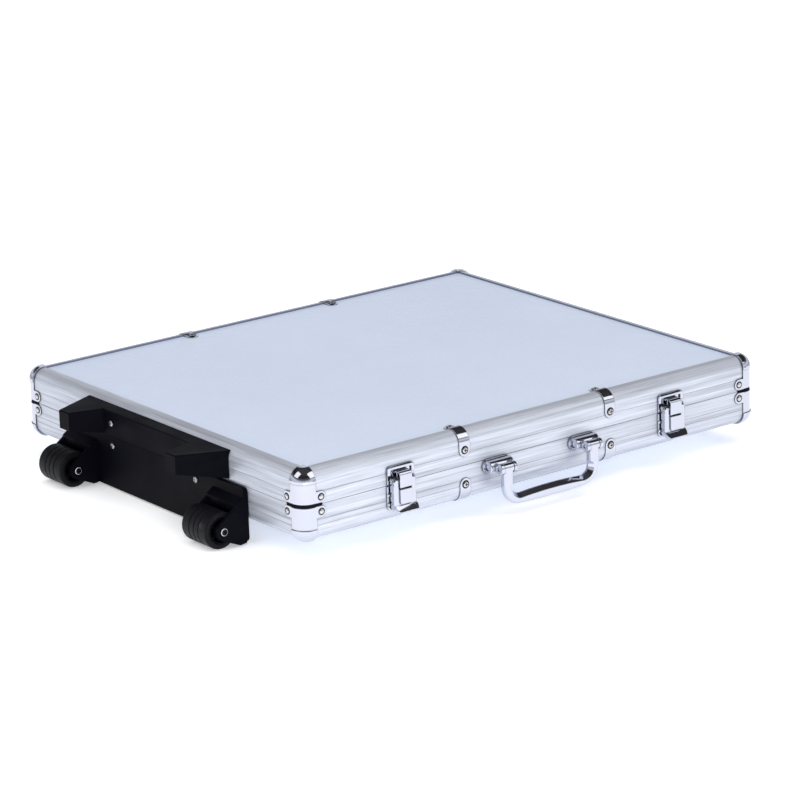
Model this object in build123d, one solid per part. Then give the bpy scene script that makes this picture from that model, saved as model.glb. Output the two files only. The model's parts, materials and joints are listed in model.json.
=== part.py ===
from build123d import *
import os

# Trolley case for poker chips: two shallow aluminium-framed halves hinged at the back,
# lying on its two wheels and two rubber feet. Millimetres, +Z up.
# The wheel end is at -X, the telescopic grip at +X, latches and carry handle at the front (-Y).
# Sizes below are in case coordinates: x and y from the middle of the case, z from its underside.

# Case
case_length = 560.0
case_depth = 475.0
case_height = 70.0
parting_height = 36.0
parting_gap = 0.4
edge_radius = 13.0
floor_drop = 20.0

# Rails and panels
rail_flat = 1.0
rail_width = edge_radius + rail_flat
rail_wall = 1.6
rail_inner_wall = 1.4
lip_thickness = 2.0
board_thickness = 2.8
sheet_thickness = 0.8
panel_clearance = 0.1
panel_edge_clearance = 0.4
panel_corner = 8.0
slot_depth = 8.4
groove_depth = 0.5
groove_width = 0.8
lid_groove_above_parting = 12.2
base_grooves_above_bottom = (16.1, 21.6)
tongue_width = 1.4
tongue_height = 2.6
tongue_side_clearance = 1.1
tongue_top_clearance = 0.8
mitre_reach = 30.0
chamber_slope = 0.3

# How far a cutting block reaches past the surface that it cuts
past = 5.0

# Corner covers and edge bands
skin_gap = 0.1
cover_thickness = 1.0
cover_reach = 16.0
cover_parting_gap = 1.9
cap_rise = 1.0
cap_lap = 0.5
flange_height = 11.0
flange_rivet_from_corner = 21.5
lid_flange_above_parting = 7.2
base_flange_below_parting = 7.0
band_thickness = 1.0
band_width = 12.5
band_offset = 90.0
band_top_reach = 27.0
lid_band_foot_above_parting = 9.0
base_band_foot_below_parting = 12.5

# Fasteners
rivet_head_radius = 2.7
rivet_head_height = 1.3
rivet_shank_radius = 1.5
rivet_shank_length = 4.5
small_rivet_head_radius = 1.7
small_rivet_head_height = 0.9
small_rivet_shank_radius = 1.0
small_rivet_shank_length = 3.5
screw_head_radius = 3.1
screw_head_height = 1.5
screw_shank_radius = 1.5
screw_shank_length = 4.4
screw_slot_width = 0.9
screw_slot_depth = 0.9
hole_clearance = 0.05
body_clearance = 0.3

# Chip trays
chip_radius = 20.3
chip_row_length = 167.0
chip_rows = 10
chip_row_wall = 3.4
chip_axis_height = 28.5
tray_top = 29.0
tray_wall = 4.0
tray_clearance = 0.5
card_well = (67.0, 92.0)
card_well_depth = 19.0
dealer_well_radius = 26.0
dice_well = (134.0, 44.0)
well_depth = 17.0
well_wall = 12.0
card_well_from_middle = 8.0
dice_well_corner = 8.0
foam_bottom = 50.0

# Hinges
hinge_offset = 150.0
hinge_width = 60.0
hinge_axis_out = 3.5
knuckle_radius = 2.8
hinge_pin_radius = 1.5
pin_fit = 0.05
leaf_thickness = 1.2
leaf_height = 18.0
knuckle_count = 5
knuckle_gap = 0.3
leaf_rivet_pitch = 22.0
leaf_root_gap = 0.6
knuckle_web_gap = 0.4

# Latches, measured outwards from the front face and up from the underside
latch_offset = 167.0
plate_thickness = 1.2
latch_plate_width = 32.0
latch_plate_bottom = 12.0
latch_plate_corner = 4.0
plate_rivet_inset = 2.1
plate_rivet_heights = (18.0, 27.0)
catch_width = 31.0
catch_bottom = 37.0
catch_top = 54.5
catch_rim_width = 3.4
catch_rim_rise = 1.6
catch_rim_bottom = 46.0
catch_rim_slope = 2.2
catch_rivet_offset = 4.5
catch_rivet_height = 40.4
lip_width = 13.0
lip_bottom = 42.8
lip_top = 48.1
lip_out = 3.8
lip_wall = 1.0
lever_pivot_out = 4.2
lever_pivot_height = 41.5
ear_offset = 9.4
ear_thickness = 1.2
ear_radius = 2.0
ear_root = (24.0, 34.0)
pivot_rivet_radius = 1.1
pivot_head_radius = 1.7
pivot_head_thickness = 0.5
pivot_head_gap = 0.2
claw_pivot_out = 2.7
claw_pivot_down = 4.0
claw_pin_radius = 1.0
claw_pin_proud = 0.4
claw_roll_radius = 1.9
claw_width = 14.0
claw_side_gap = 0.6
claw_bottom = 34.4
claw_plate_top = 41.0
claw_top = 49.6
claw_thickness = 1.2
claw_bend = 3.6
claw_tip_depth = 1.2
claw_tip_out = 1.6
claw_tip_wall = 0.8
lever_width = 26.0
lever_bottom = 10.6
lever_top = 42.3
lever_out = 8.4
lever_back = 2.6
lever_wall = 1.2
lever_corner = 6.0
lever_shoulder = 3.0
lever_rounding = 1.2
lever_panel_width = 13.6
lever_panel_bottom = 18.2
lever_panel_top = 32.5
lever_panel_rise = 2.0
lever_panel_corner = 1.8
lever_panel_rounding = 0.4
lever_lip_top = 17.4
lever_lip_rise = 3.8
lever_lip_edge = 1.4

# Carry handle
handle_spread = 53.0
handle_pivot_out = 17.5
handle_pivot_height = 29.5
arm_width = 11.0
handle_thickness = 9.5
handle_bottom = -9.2
handle_bow = 1.8
grip_top = 0.6
grip_bow = 2.2
handle_corner = 19.0
handle_inner_corner = 9.0
handle_rounding = 3.4
handle_eye_radius = 5.05
bracket_plate_half = 16.5
bracket_plate_height = 14.0
bracket_plate = 2.4
bracket_barrel_half = 14.0
bracket_barrel_out = 5.6
bracket_barrel_radius = 6.4
bracket_ear_gap = 0.4
bracket_ear_width = 3.6
bracket_ear_waist = 3.9
bracket_ear_rounding = 0.8
bracket_barrel_rounding = 1.0
bracket_eye_radius = 5.4
bracket_dimple_radius = 3.4
bracket_dimple_depth = 1.0
handle_pin_radius = 2.2
handle_pin_inset = 0.6

# Wheel end
wheel_radius = 18.0
wheel_width = 40.0
wheel_side_gap = 1.0
tyre_thickness = 4.5
tyre_groove_width = 1.2
tyre_groove_depth = 0.9
tyre_groove_pitch = 7.5
tyre_rounding = 1.8
hub_boss_radius = 5.5
hub_rim_thickness = 2.0
hub_recess_depth = 13.0
hub_spokes = 5
spoke_thickness = 2.0
spoke_setback = 3.0
axle_radius = 2.4
axle_fit = 0.06
axle_head_radius = 3.2
axle_head_thickness = 0.8
axle_socket_radius = 1.7
wheel_front_gap = 5.5
fork_half_span = 151.0
ear_wall = 4.0
ear_nose_radius = 8.5
ear_bottom_gap = 1.0
ear_heel_radius = 4.5
ear_shoulder_radius = 3.0
ear_heel_out = 5.0
bracket_plate_thickness = 5.0
wheel_plate_top = 35.0
wheel_plate_corner = 5.0
wheel_plate_bottom = -18.0
hood_reach = 8.5
hood_top = 27.0
hood_edge = 20.5
hood_bottom = 14.0
socket_length = 22.0
socket_wall = 5.0

# Bumper on the lid, the second foot when the case stands upright
bumper_bottom = 37.6
bumper_top = 65.0
bumper_half_width = 122.0
bumper_bar = 13.0
bumper_inner_half = 74.0
prong_inner = 84.0
prong_outer = 101.0
prong_rise = 8.9
bumper_root = 8.0
bumper_chamfer = 1.0
bumper_screw_offset = 60.0
bumper_screw_height = 53.0
plate_screw_offset = 72.0
plate_screw_height = 25.5

# Telescopic handle
tube_offset = 62.0
tube_height = -7.0
outer_tube = (22.0, 13.0)
tube_wall = 0.9
tube_corner = 3.0
plug_length = 18.0
plug_pocket = 10.0
stage_step = 11.0
outer_tube_inset = 2.3
outer_tube_short = 30.0
middle_tube_inset = 1.0
tube_end_gap = 0.4
clip_width = 16.0
clip_wall = 1.5
clip_flange = 9.0
clip_offset = 130.0
clip_fit = 0.1
guide_half_width = 92.0
guide_depth = 48.0
guide_bottom = -17.0
guide_plate = 4.3
guide_plate_top = 30.0
guide_corner = 5.0
guide_recess_half = 46.0
guide_recess_depth = 18.0
guide_recess_roof = -2.5
guide_screw_height = 20.0
guide_screw_offset = 78.0
foot_radius = 9.0
foot_offset = 78.0
foot_inset = 22.0
foot_chamfer = 0.8
grip_half_width = 78.0
grip_start = 8.0
grip_reach = 24.0
grip_height = 16.0
grip_rounding = 3.5
grip_leg_half = 14.0
grip_leg_step = 0.5
grip_leg_in_bar = 6.0
grip_wall = 2.5
carriage_height = 6.0
carriage_depth = 5.0
carriage_past_tube = 3.5
carriage_play = 0.5
cavity_play = 1.0
button_half_width = 21.0
button_height = 8.0
button_proud = 3.0
button_corner = 2.5
button_rounding = 1.2
button_travel = 4.0
push_rod_radius = 2.0
push_rod_length = 500.0

# Worked out from the sizes above
chip_row_pitch = 2 * chip_radius + chip_row_wall
axle_out = bracket_plate_thickness + wheel_front_gap + wheel_radius
panel_thickness = board_thickness + sheet_thickness
half_length = case_length / 2
half_depth = case_depth / 2
base_top = parting_height - parting_gap / 2
lid_bottom = parting_height + parting_gap / 2
wheel_reach = axle_out + wheel_radius
wheel_x = -half_length - axle_out
wheel_z = wheel_radius - floor_drop
wheel_y = fork_half_span - ear_wall - wheel_side_gap - wheel_width / 2
hinge_y = half_depth + hinge_axis_out
handle_y = -half_depth - handle_pivot_out
front_reach = handle_pivot_out + bracket_eye_radius
back_reach = hinge_axis_out + knuckle_radius
grip_end = half_length + grip_reach
to_origin = Vector(
    (wheel_reach - grip_reach - button_proud) / 2,
    (front_reach - back_reach) / 2,
    floor_drop,
)


def block(x0, x1, y0, y1, z0, z1):
    """A box between two corners."""
    return Pos((x0 + x1) / 2, (y0 + y1) / 2, (z0 + z1) / 2) * Box(x1 - x0, y1 - y0, z1 - z0)


def rod_x(x0, x1, y, z, radius):
    """A round bar along X."""
    return Pos((x0 + x1) / 2, y, z) * Rot(0, 90, 0) * Cylinder(radius, x1 - x0)


def rod_y(y0, y1, x, z, radius):
    """A round bar along Y."""
    return Pos(x, (y0 + y1) / 2, z) * Rot(90, 0, 0) * Cylinder(radius, y1 - y0)


def rod_z(z0, z1, x, y, radius):
    """A round bar along Z."""
    return Pos(x, y, (z0 + z1) / 2) * Cylinder(radius, z1 - z0)


def slab_along_x(x0, x1, face):
    """Extrudes a face drawn in (y, z) from x0 to x1."""
    plane = Plane(origin=(x0, 0, 0), x_dir=(0, 1, 0), z_dir=(1, 0, 0))
    return extrude(plane * face, x1 - x0)


def slab_along_y(y0, y1, face):
    """Extrudes a face drawn in (x, z) from y0 to y1."""
    plane = Plane(origin=(0, y1, 0), x_dir=(1, 0, 0), z_dir=(0, -1, 0))
    return extrude(plane * face, y1 - y0)


def slab_along_z(z0, z1, face):
    """Extrudes a face drawn in (x, y) from z0 to z1."""
    return extrude(Pos(0, 0, z0) * face, z1 - z0)


def outline(*points):
    """A closed polygon face."""
    return make_face(Polyline(*points, close=True))


def circle_at(x, y, radius):
    """A round face at a point of the drawing plane."""
    return Pos(x, y) * Circle(radius)


def hull_of(*faces):
    """The stretched outline round several faces."""
    edges = [edge for face in faces for edge in face.edges()]
    return make_hull(edges)


def case_form(grow):
    """The closed case with all its outer edges rounded, grown outwards by grow."""
    body = Pos(0, 0, case_height / 2) * Box(
        case_length + 2 * grow, case_depth + 2 * grow, case_height + 2 * grow
    )
    return fillet(body.edges(), edge_radius + grow)


def four_corners(shape):
    """A piece and its mirror images at the other three corners."""
    pair = [shape, mirror(shape, Plane.YZ)]
    return pair + [mirror(one, Plane.XZ) for one in pair]


def solids_of(pieces):
    """The separate solids of several pieces as one group."""
    solids = []
    for piece in pieces:
        solids += piece.solids()
    return Compound(children=solids)


def place(shape, point, direction):
    """Sets a fastener drawn with its head up at a point, head towards direction."""
    return Plane(origin=point, z_dir=direction).location * shape


def dome(radius, height):
    """A round head standing on z = 0."""
    ball = (radius**2 + height**2) / (2 * height)
    return (Pos(0, 0, height - ball) * Sphere(ball)) & block(-radius, radius, -radius, radius, 0, height)


def rivet():
    """Dome rivet of the corner covers and hinges."""
    shank = rod_z(-rivet_shank_length, 0, 0, 0, rivet_shank_radius)
    return dome(rivet_head_radius, rivet_head_height) + shank


def small_rivet():
    """Small rivet of the latch plates."""
    shank = rod_z(-small_rivet_shank_length, 0, 0, 0, small_rivet_shank_radius)
    return dome(small_rivet_head_radius, small_rivet_head_height) + shank


def pan_screw():
    """Pan-head screw with a cross recess."""
    head = rod_z(0, screw_head_height, 0, 0, screw_head_radius)
    head = fillet(head.edges().group_by(Axis.Z)[-1], screw_head_height * 0.6)
    arm = screw_head_radius * 0.6
    half = screw_slot_width / 2
    low = screw_head_height - screw_slot_depth
    head -= block(-arm, arm, -half, half, low, screw_head_height)
    head -= block(-half, half, -arm, arm, low, screw_head_height)
    return head + rod_z(-screw_shank_length, 0, 0, 0, screw_shank_radius)


def drill(shape, spots, radius, length):
    """Cuts the shank hole of each fastener spot (point, direction) that reaches the shape."""
    box = shape.bounding_box()
    for point, direction in spots:
        bore = place(rod_z(-length - 1, 2, 0, 0, radius + hole_clearance), point, direction)
        reach = bore.bounding_box()
        apart = (
            reach.min.X > box.max.X or reach.max.X < box.min.X
            or reach.min.Y > box.max.Y or reach.max.Y < box.min.Y
            or reach.min.Z > box.max.Z or reach.max.Z < box.min.Z
        )
        if not apart:
            shape -= bore
    return shape


def lid_profile():
    """Section of a lid rail: x inwards from the outer face, y is height."""
    top = case_height
    slot_top = top - lip_thickness
    slot_bottom = slot_top - panel_thickness - 2 * panel_clearance
    section = outline((0, lid_bottom), (0, top), (rail_width, top), (rail_width, lid_bottom))
    section -= panel_slot(slot_bottom, slot_top)
    inner = rail_width - rail_inner_wall
    ceiling = slot_bottom - rail_inner_wall
    chamber_floor = lid_bottom + tongue_height + tongue_top_clearance + rail_inner_wall
    section -= outline(
        (rail_wall, chamber_floor),
        (rail_wall, top - edge_radius + 1),
        (rail_wall + chamber_slope * edge_radius, ceiling),
        (inner, ceiling),
        (inner, chamber_floor),
    )
    half_groove = tongue_width / 2 + tongue_side_clearance
    middle = rail_width / 2
    section -= outline(
        (middle - half_groove, lid_bottom - 1),
        (middle - half_groove, lid_bottom + tongue_height + tongue_top_clearance),
        (middle + half_groove, lid_bottom + tongue_height + tongue_top_clearance),
        (middle + half_groove, lid_bottom - 1),
    )
    line = parting_height + lid_groove_above_parting
    return section - face_groove(line)


def base_profile():
    """Section of a base rail: x inwards from the outer face, y is height."""
    slot_bottom = lip_thickness
    slot_top = slot_bottom + panel_thickness + 2 * panel_clearance
    section = outline((0, 0), (0, base_top), (rail_width, base_top), (rail_width, 0))
    section -= panel_slot(slot_bottom, slot_top)
    inner = rail_width - rail_inner_wall
    chamber_floor = slot_top + rail_inner_wall
    ceiling = base_top - rail_wall
    section -= outline(
        (rail_wall, edge_radius - 1),
        (rail_wall, ceiling),
        (inner, ceiling),
        (inner, chamber_floor),
        (rail_wall + chamber_slope * edge_radius, chamber_floor),
    )
    middle = rail_width / 2
    section += outline(
        (middle - tongue_width / 2, base_top - rail_wall / 2),
        (middle - tongue_width / 2, base_top + tongue_height),
        (middle + tongue_width / 2, base_top + tongue_height),
        (middle + tongue_width / 2, base_top - rail_wall / 2),
    )
    for line in base_grooves_above_bottom:
        section -= face_groove(line)
    return section


def panel_slot(low, high):
    """The slot in a rail that holds the panel's edge."""
    return outline((slot_depth, low), (slot_depth, high), (rail_width + 1, high), (rail_width + 1, low))


def face_groove(height):
    """A fine line cut into the outer face of a rail."""
    half = groove_width / 2
    return outline((-1, height - half), (groove_depth, height), (-1, height + half))


def rails(profile):
    """The four mitred rails of one half, in the order front, back, left, right."""
    front_plane = Plane(origin=(-half_length, -half_depth, 0), x_dir=(0, 1, 0), z_dir=(1, 0, 0))
    left_plane = Plane(origin=(-half_length, half_depth, 0), x_dir=(1, 0, 0), z_dir=(0, -1, 0))
    form = case_form(0)
    height = case_height + tongue_height
    front_zone = outline(
        (-half_length, -half_depth),
        (half_length, -half_depth),
        (half_length - mitre_reach, -half_depth + mitre_reach),
        (-half_length + mitre_reach, -half_depth + mitre_reach),
    )
    left_zone = outline(
        (-half_length, -half_depth),
        (-half_length + mitre_reach, -half_depth + mitre_reach),
        (-half_length + mitre_reach, half_depth - mitre_reach),
        (-half_length, half_depth),
    )
    front = extrude(front_plane * profile, case_length) & slab_along_z(0, height, front_zone) & form
    left = extrude(left_plane * profile, case_depth) & slab_along_z(0, height, left_zone) & form
    return [front, mirror(front, Plane.XZ), left, mirror(left, Plane.YZ)]


def panel(bottom, top):
    """Layer of a panel between two heights, held in the slots of the rails."""
    inset = slot_depth + panel_edge_clearance
    x = half_length - inset
    y = half_depth - inset
    layer = block(-x, x, -y, y, bottom, top)
    return fillet(layer.edges().filter_by(Axis.Z), panel_corner)


def corner_shell():
    """The skin round one corner of the whole case, with a thicker ball cap at its top and at its bottom."""
    size = 2 * cover_reach + 2 * past
    corner = block(
        half_length - size, half_length + past, -half_depth - past, -half_depth + size,
        -past, case_height + past,
    )
    caps = case_form(skin_gap + cover_thickness + cap_rise) & corner
    caps &= block(
        half_length - cover_reach, half_length + past, -half_depth - past, -half_depth + cover_reach,
        -past, case_height + past,
    )
    caps -= block(
        half_length - size, half_length + past, -half_depth - past, -half_depth + size,
        edge_radius - cap_lap, case_height - edge_radius + cap_lap,
    )
    skin = case_form(skin_gap + cover_thickness) & corner
    return skin + caps - case_form(skin_gap)


def corner_zone(low, high, flange_middle):
    """Where a corner cover has metal: the corner itself and a rivet flange on each face."""
    x_in = half_length - cover_reach
    y_in = -half_depth + cover_reach
    zone = block(x_in, half_length + past, -half_depth - past, y_in, low, high)
    half = flange_height / 2
    rivet_x = half_length - flange_rivet_from_corner
    rivet_y = -half_depth + flange_rivet_from_corner
    y_face = (-half_depth - past, -half_depth + skin_gap)
    x_face = (half_length - skin_gap, half_length + past)
    zone += block(rivet_x, x_in + 1, *y_face, flange_middle - half, flange_middle + half)
    zone += rod_y(*y_face, rivet_x, flange_middle, half)
    zone += block(*x_face, y_in - 1, rivet_y, flange_middle - half, flange_middle + half)
    zone += rod_x(*x_face, rivet_y, flange_middle, half)
    return zone


def flange_spots(height):
    """Rivet spots on the flanges of the four corners of one half."""
    out = skin_gap + cover_thickness
    spots = []
    for side_x in (-1, 1):
        for side_y in (-1, 1):
            across = side_x * (half_length - flange_rivet_from_corner)
            spots.append(((across, side_y * (half_depth + out), height), (0, side_y, 0)))
            along = side_y * (half_depth - flange_rivet_from_corner)
            spots.append(((side_x * (half_length + out), along, height), (side_x, 0, 0)))
    return spots


def band_section(grow):
    """Section of the front of the case, in (y, z), grown outwards by grow, as far as the bands go."""
    inner = -half_depth + rail_width
    deep = -half_depth + 3 * rail_width
    top = case_height - lip_thickness - panel_clearance
    section = outline(
        (-half_depth, -case_height),
        (-half_depth, case_height),
        (inner, case_height),
        (inner, top),
        (deep, top),
        (deep, -case_height),
    )
    corner = section.vertices().sort_by_distance((-half_depth, case_height, 0))[0]
    section = fillet(corner, edge_radius)
    return offset(section, grow, kind=Kind.INTERSECTION)


def edge_band(foot):
    """A bent strap over the top front edge at x = 0, its leg ending at height foot."""
    skin = band_section(skin_gap + band_thickness) - band_section(skin_gap)
    half = band_width / 2
    strap = slab_along_x(-half, half, skin)
    end = -half_depth + band_top_reach
    zone = block(-half, half, -half_depth - past, end - half, foot + half, case_height + past)
    zone += rod_y(-half_depth - past, -half_depth + past, 0, foot + half, half)
    zone += rod_z(case_height - past, case_height + past, 0, end - half, half)
    return strap & zone


def band_screw_spots(foot):
    """The two screw spots of a strap at x = 0: on its leg and on its top run."""
    out = skin_gap + band_thickness
    half = band_width / 2
    end = -half_depth + band_top_reach
    top = case_height - lip_thickness - panel_clearance + out
    return [((0, -half_depth - out, foot + half), (0, -1, 0)), ((0, end - half, top), (0, 0, 1))]


def lid_bands():
    """Straps of the lid, two at the front and two at the back."""
    one = edge_band(parting_height + lid_band_foot_above_parting)
    fronts = [Pos(side * band_offset, 0, 0) * one for side in (-1, 1)]
    return fronts + [mirror(band, Plane.XZ) for band in fronts]


def upside_down(shape):
    """Turns a piece made for the top edge to the bottom edge."""
    return mirror(shape, Plane(origin=(0, 0, case_height / 2), z_dir=(0, 0, 1)))


def base_bands():
    """Straps of the base, two at the front and two at the back."""
    foot = case_height - (parting_height - base_band_foot_below_parting)
    one = upside_down(edge_band(foot))
    fronts = [Pos(side * band_offset, 0, 0) * one for side in (-1, 1)]
    return fronts + [mirror(band, Plane.XZ) for band in fronts]


def band_spots(lid):
    """All band screw spots of one half."""
    if lid:
        foot = parting_height + lid_band_foot_above_parting
    else:
        foot = case_height - (parting_height - base_band_foot_below_parting)
    spots = []
    for (x, y, z), (dx, dy, dz) in band_screw_spots(foot):
        if not lid:
            z = case_height - z
            dz = -dz
        for side_x in (-1, 1):
            for side_y in (-1, 1):
                spots.append(((x + side_x * band_offset, -side_y * y, z), (dx, -side_y * dy, dz)))
    return spots


def chip_tray():
    """Tray of one block of chip rows, at x = 0."""
    half = chip_row_length / 2 + tray_wall
    wide = half_depth - rail_width - tray_clearance
    floor = lip_thickness + 2 * panel_clearance + panel_thickness + body_clearance
    tray = block(-half, half, -wide, wide, floor, tray_top)
    for row in range(chip_rows):
        y = (row - (chip_rows - 1) / 2) * chip_row_pitch
        tray -= rod_x(-chip_row_length / 2, chip_row_length / 2, y, chip_axis_height, chip_radius)
    return tray


def chip_tray_middle():
    """Distance of a chip tray's middle from the middle of the case."""
    return half_length - rail_width - tray_clearance - tray_wall - chip_row_length / 2


def accessory_tray():
    """Middle tray with four card wells, a dealer button well and two dice wells."""
    half = chip_tray_middle() - tray_wall - chip_row_length / 2 - tray_clearance
    wide = half_depth - rail_width - tray_clearance
    floor = lip_thickness + 2 * panel_clearance + panel_thickness + body_clearance
    tray = block(-half, half, -wide, wide, floor, tray_top)
    for x, y, length, width in card_wells():
        tray -= block(
            x - length / 2, x + length / 2, y - width / 2, y + width / 2, tray_top - card_well_depth, tray_top
        )
    tray -= rod_z(tray_top - well_depth, tray_top, 0, 0, dealer_well_radius)
    for x, y, length, width in dice_wells():
        well = block(
            x - length / 2, x + length / 2, y - width / 2, y + width / 2, tray_top - well_depth, tray_top
        )
        tray -= fillet(well.edges().filter_by(Axis.Z), dice_well_corner)
    return tray


def card_wells():
    """Middle and size of each card well."""
    length, width = card_well
    x = length / 2 + card_well_from_middle
    y = dealer_well_radius + well_wall + width / 2
    return [(side_x * x, side_y * y, length, width) for side_x in (-1, 1) for side_y in (-1, 1)]


def dice_wells():
    """Middle and size of each dice well."""
    length, width = dice_well
    y = dealer_well_radius + card_well[1] + 2 * well_wall + width / 2
    return [(0, side * y, length, width) for side in (-1, 1)]


def lid_foam():
    """Foam liner under the lid panel."""
    top = case_height - lip_thickness - panel_clearance - panel_thickness - skin_gap
    x = half_length - rail_width - tray_clearance
    y = half_depth - rail_width - tray_clearance
    return block(-x, x, -y, y, foam_bottom, top)


def hinge_knuckles(owner):
    """X spans of the knuckles of the base (0) or the lid (1)."""
    pitch = hinge_width / knuckle_count
    spans = []
    for index in range(owner, knuckle_count, 2):
        low = -hinge_width / 2 + index * pitch
        spans.append((low + knuckle_gap / 2, low + pitch - knuckle_gap / 2))
    return spans


def hinge_leaf(owner):
    """Leaf of one hinge at x = 0 with its knuckles. The lid's leaf goes up, the base's down."""
    sign = 1 if owner else -1
    y0 = half_depth
    y1 = half_depth + leaf_thickness
    near = parting_height + sign * (knuckle_radius + leaf_root_gap)
    far = parting_height + sign * (knuckle_radius + leaf_height)
    half = hinge_width / 2
    leaf = block(-half, half, y0, y1, min(near, far), max(near, far))
    for x0, x1 in hinge_knuckles(owner):
        leaf += rod_x(x0, x1, hinge_y, parting_height, knuckle_radius)
        low = parting_height + sign * knuckle_web_gap
        leaf += block(x0, x1, y0, y1, min(low, near + sign), max(low, near + sign))
    return leaf - rod_x(-half - 1, half + 1, hinge_y, parting_height, hinge_pin_radius + pin_fit)


def leaf_spots(owner):
    """Rivet spots of the leaves of one half."""
    sign = 1 if owner else -1
    z = parting_height + sign * (knuckle_radius + (leaf_height + leaf_root_gap) / 2)
    y = half_depth + leaf_thickness
    across = [side * hinge_offset + step * leaf_rivet_pitch for side in (-1, 1) for step in (-1, 0, 1)]
    return [((x, y, z), (0, 1, 0)) for x in across]


def out_from_front(distance):
    """Y of a point this far in front of the case's front face."""
    return -half_depth - distance


def latch_face(*points):
    """A polygon drawn as (distance out from the front face, height), in (y, z)."""
    return outline(*[(out_from_front(out), height) for out, height in points])


def latch_base():
    """Latch plate of the base at x = 0, with the two ears that carry the lever."""
    half = latch_plate_width / 2
    y = out_from_front(plate_thickness)
    plate = block(-half, half, y, -half_depth, latch_plate_bottom, base_top - body_clearance)
    plate = fillet(plate.edges().filter_by(Axis.Y).group_by(Axis.Z)[0], latch_plate_corner)
    low, high = ear_root
    back = plate_thickness / 3
    root = latch_face((back, low), (back, high), (plate_thickness, high), (plate_thickness, low))
    eye = circle_at(out_from_front(lever_pivot_out), lever_pivot_height, ear_radius)
    above = latch_face(
        (-1, base_top - 2), (-1, catch_top), (plate_thickness, catch_top), (plate_thickness, base_top - 2)
    )
    ear = hull_of(root, eye) - above
    ear -= circle_at(out_from_front(lever_pivot_out), lever_pivot_height, pivot_rivet_radius + pin_fit)
    for side in (-1, 1):
        plate += slab_along_x(*sorted((side * ear_offset, side * (ear_offset + ear_thickness))), ear)
    return plate


def latch_plate_spots():
    """Small rivet spots of a latch base plate at x = 0."""
    x = latch_plate_width / 2 - plate_rivet_inset
    y = out_from_front(plate_thickness)
    return [((side * x, y, z), (0, -1, 0)) for side in (-1, 1) for z in plate_rivet_heights]


def catch_spots():
    """Small rivet spots of a latch catch at x = 0, behind the claw."""
    y = out_from_front(plate_thickness)
    return [((side * catch_rivet_offset, y, catch_rivet_height), (0, -1, 0)) for side in (-1, 1)]


def latch_catch():
    """Catch on the lid at x = 0: a plate with an upward lip, in a raised rim that slopes back at its top."""
    half = catch_width / 2
    y_plate = out_from_front(plate_thickness)
    y_rim = out_from_front(plate_thickness + catch_rim_rise)
    plate = block(-half, half, y_plate, -half_depth, catch_bottom, catch_top)
    rim = block(-half, half, y_rim, y_plate + 0.2, catch_rim_bottom, catch_top)
    inside = half - catch_rim_width
    rim -= block(-inside, inside, y_rim - 1, y_plate + 1, catch_rim_bottom - 1, catch_top - catch_rim_width)
    outside = block(-half, half, y_rim - 1, 0, catch_bottom - 1, catch_top)
    plate = (plate + rim) & fillet(outside.edges().filter_by(Axis.Y).group_by(Axis.Z)[-1], latch_plate_corner)
    top = plate_thickness + catch_rim_rise + 1
    fall = catch_rim_slope * (1 + 1 / catch_rim_rise)
    slope = latch_face((plate_thickness, catch_top), (top, catch_top - fall), (top, catch_top))
    plate -= slab_along_x(-half - 1, half + 1, slope)
    section = latch_face(
        (plate_thickness / 2, lip_bottom),
        (lip_out + lip_wall, lip_bottom),
        (lip_out + lip_wall, lip_top),
        (lip_out, lip_top),
        (lip_out, lip_bottom + lip_wall),
        (plate_thickness / 2, lip_bottom + lip_wall),
    )
    return plate + slab_along_x(-lip_width / 2, lip_width / 2, section)


def pivot_rivets():
    """The two stub rivets of a lever's pivot, at x = 0."""
    outer = lever_width / 2 + pivot_head_gap + pivot_head_thickness
    rivets = []
    for side in (-1, 1):
        x0 = side * (ear_offset - pivot_head_thickness)
        x1 = side * outer
        y = out_from_front(lever_pivot_out)
        stub = rod_x(min(x0, x1), max(x0, x1), y, lever_pivot_height, pivot_rivet_radius)
        head_out = side * (outer - pivot_head_thickness)
        stub += rod_x(min(head_out, x1), max(head_out, x1), y, lever_pivot_height, pivot_head_radius)
        rivets.append(stub)
    return rivets


def claw_pivot():
    """Where a claw turns on its lever: distance out, height."""
    return lever_pivot_out + claw_pivot_out, lever_pivot_height - claw_pivot_down


def lever_outline(reach):
    """What is seen of a lever from the front, as a bar from its back out to a reach."""
    half = lever_width / 2
    bar = block(-half, half, out_from_front(reach), out_from_front(lever_back), lever_bottom, lever_top)
    bar = fillet(bar.edges().filter_by(Axis.Y).group_by(Axis.Z)[0], lever_corner)
    return fillet(bar.edges().filter_by(Axis.Y).group_by(Axis.Z)[-1], lever_shoulder)


def lever_cheek():
    """Side of a lever round its pivot, drawn in (y, z)."""
    low = claw_bottom
    high = lever_pivot_height - claw_pivot_down / 2
    wall = latch_face((lever_back, low), (lever_back, high), (lever_out - 1, high), (lever_out - 1, low))
    return hull_of(circle_at(out_from_front(lever_pivot_out), lever_pivot_height, ear_radius + 0.2), wall)


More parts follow.
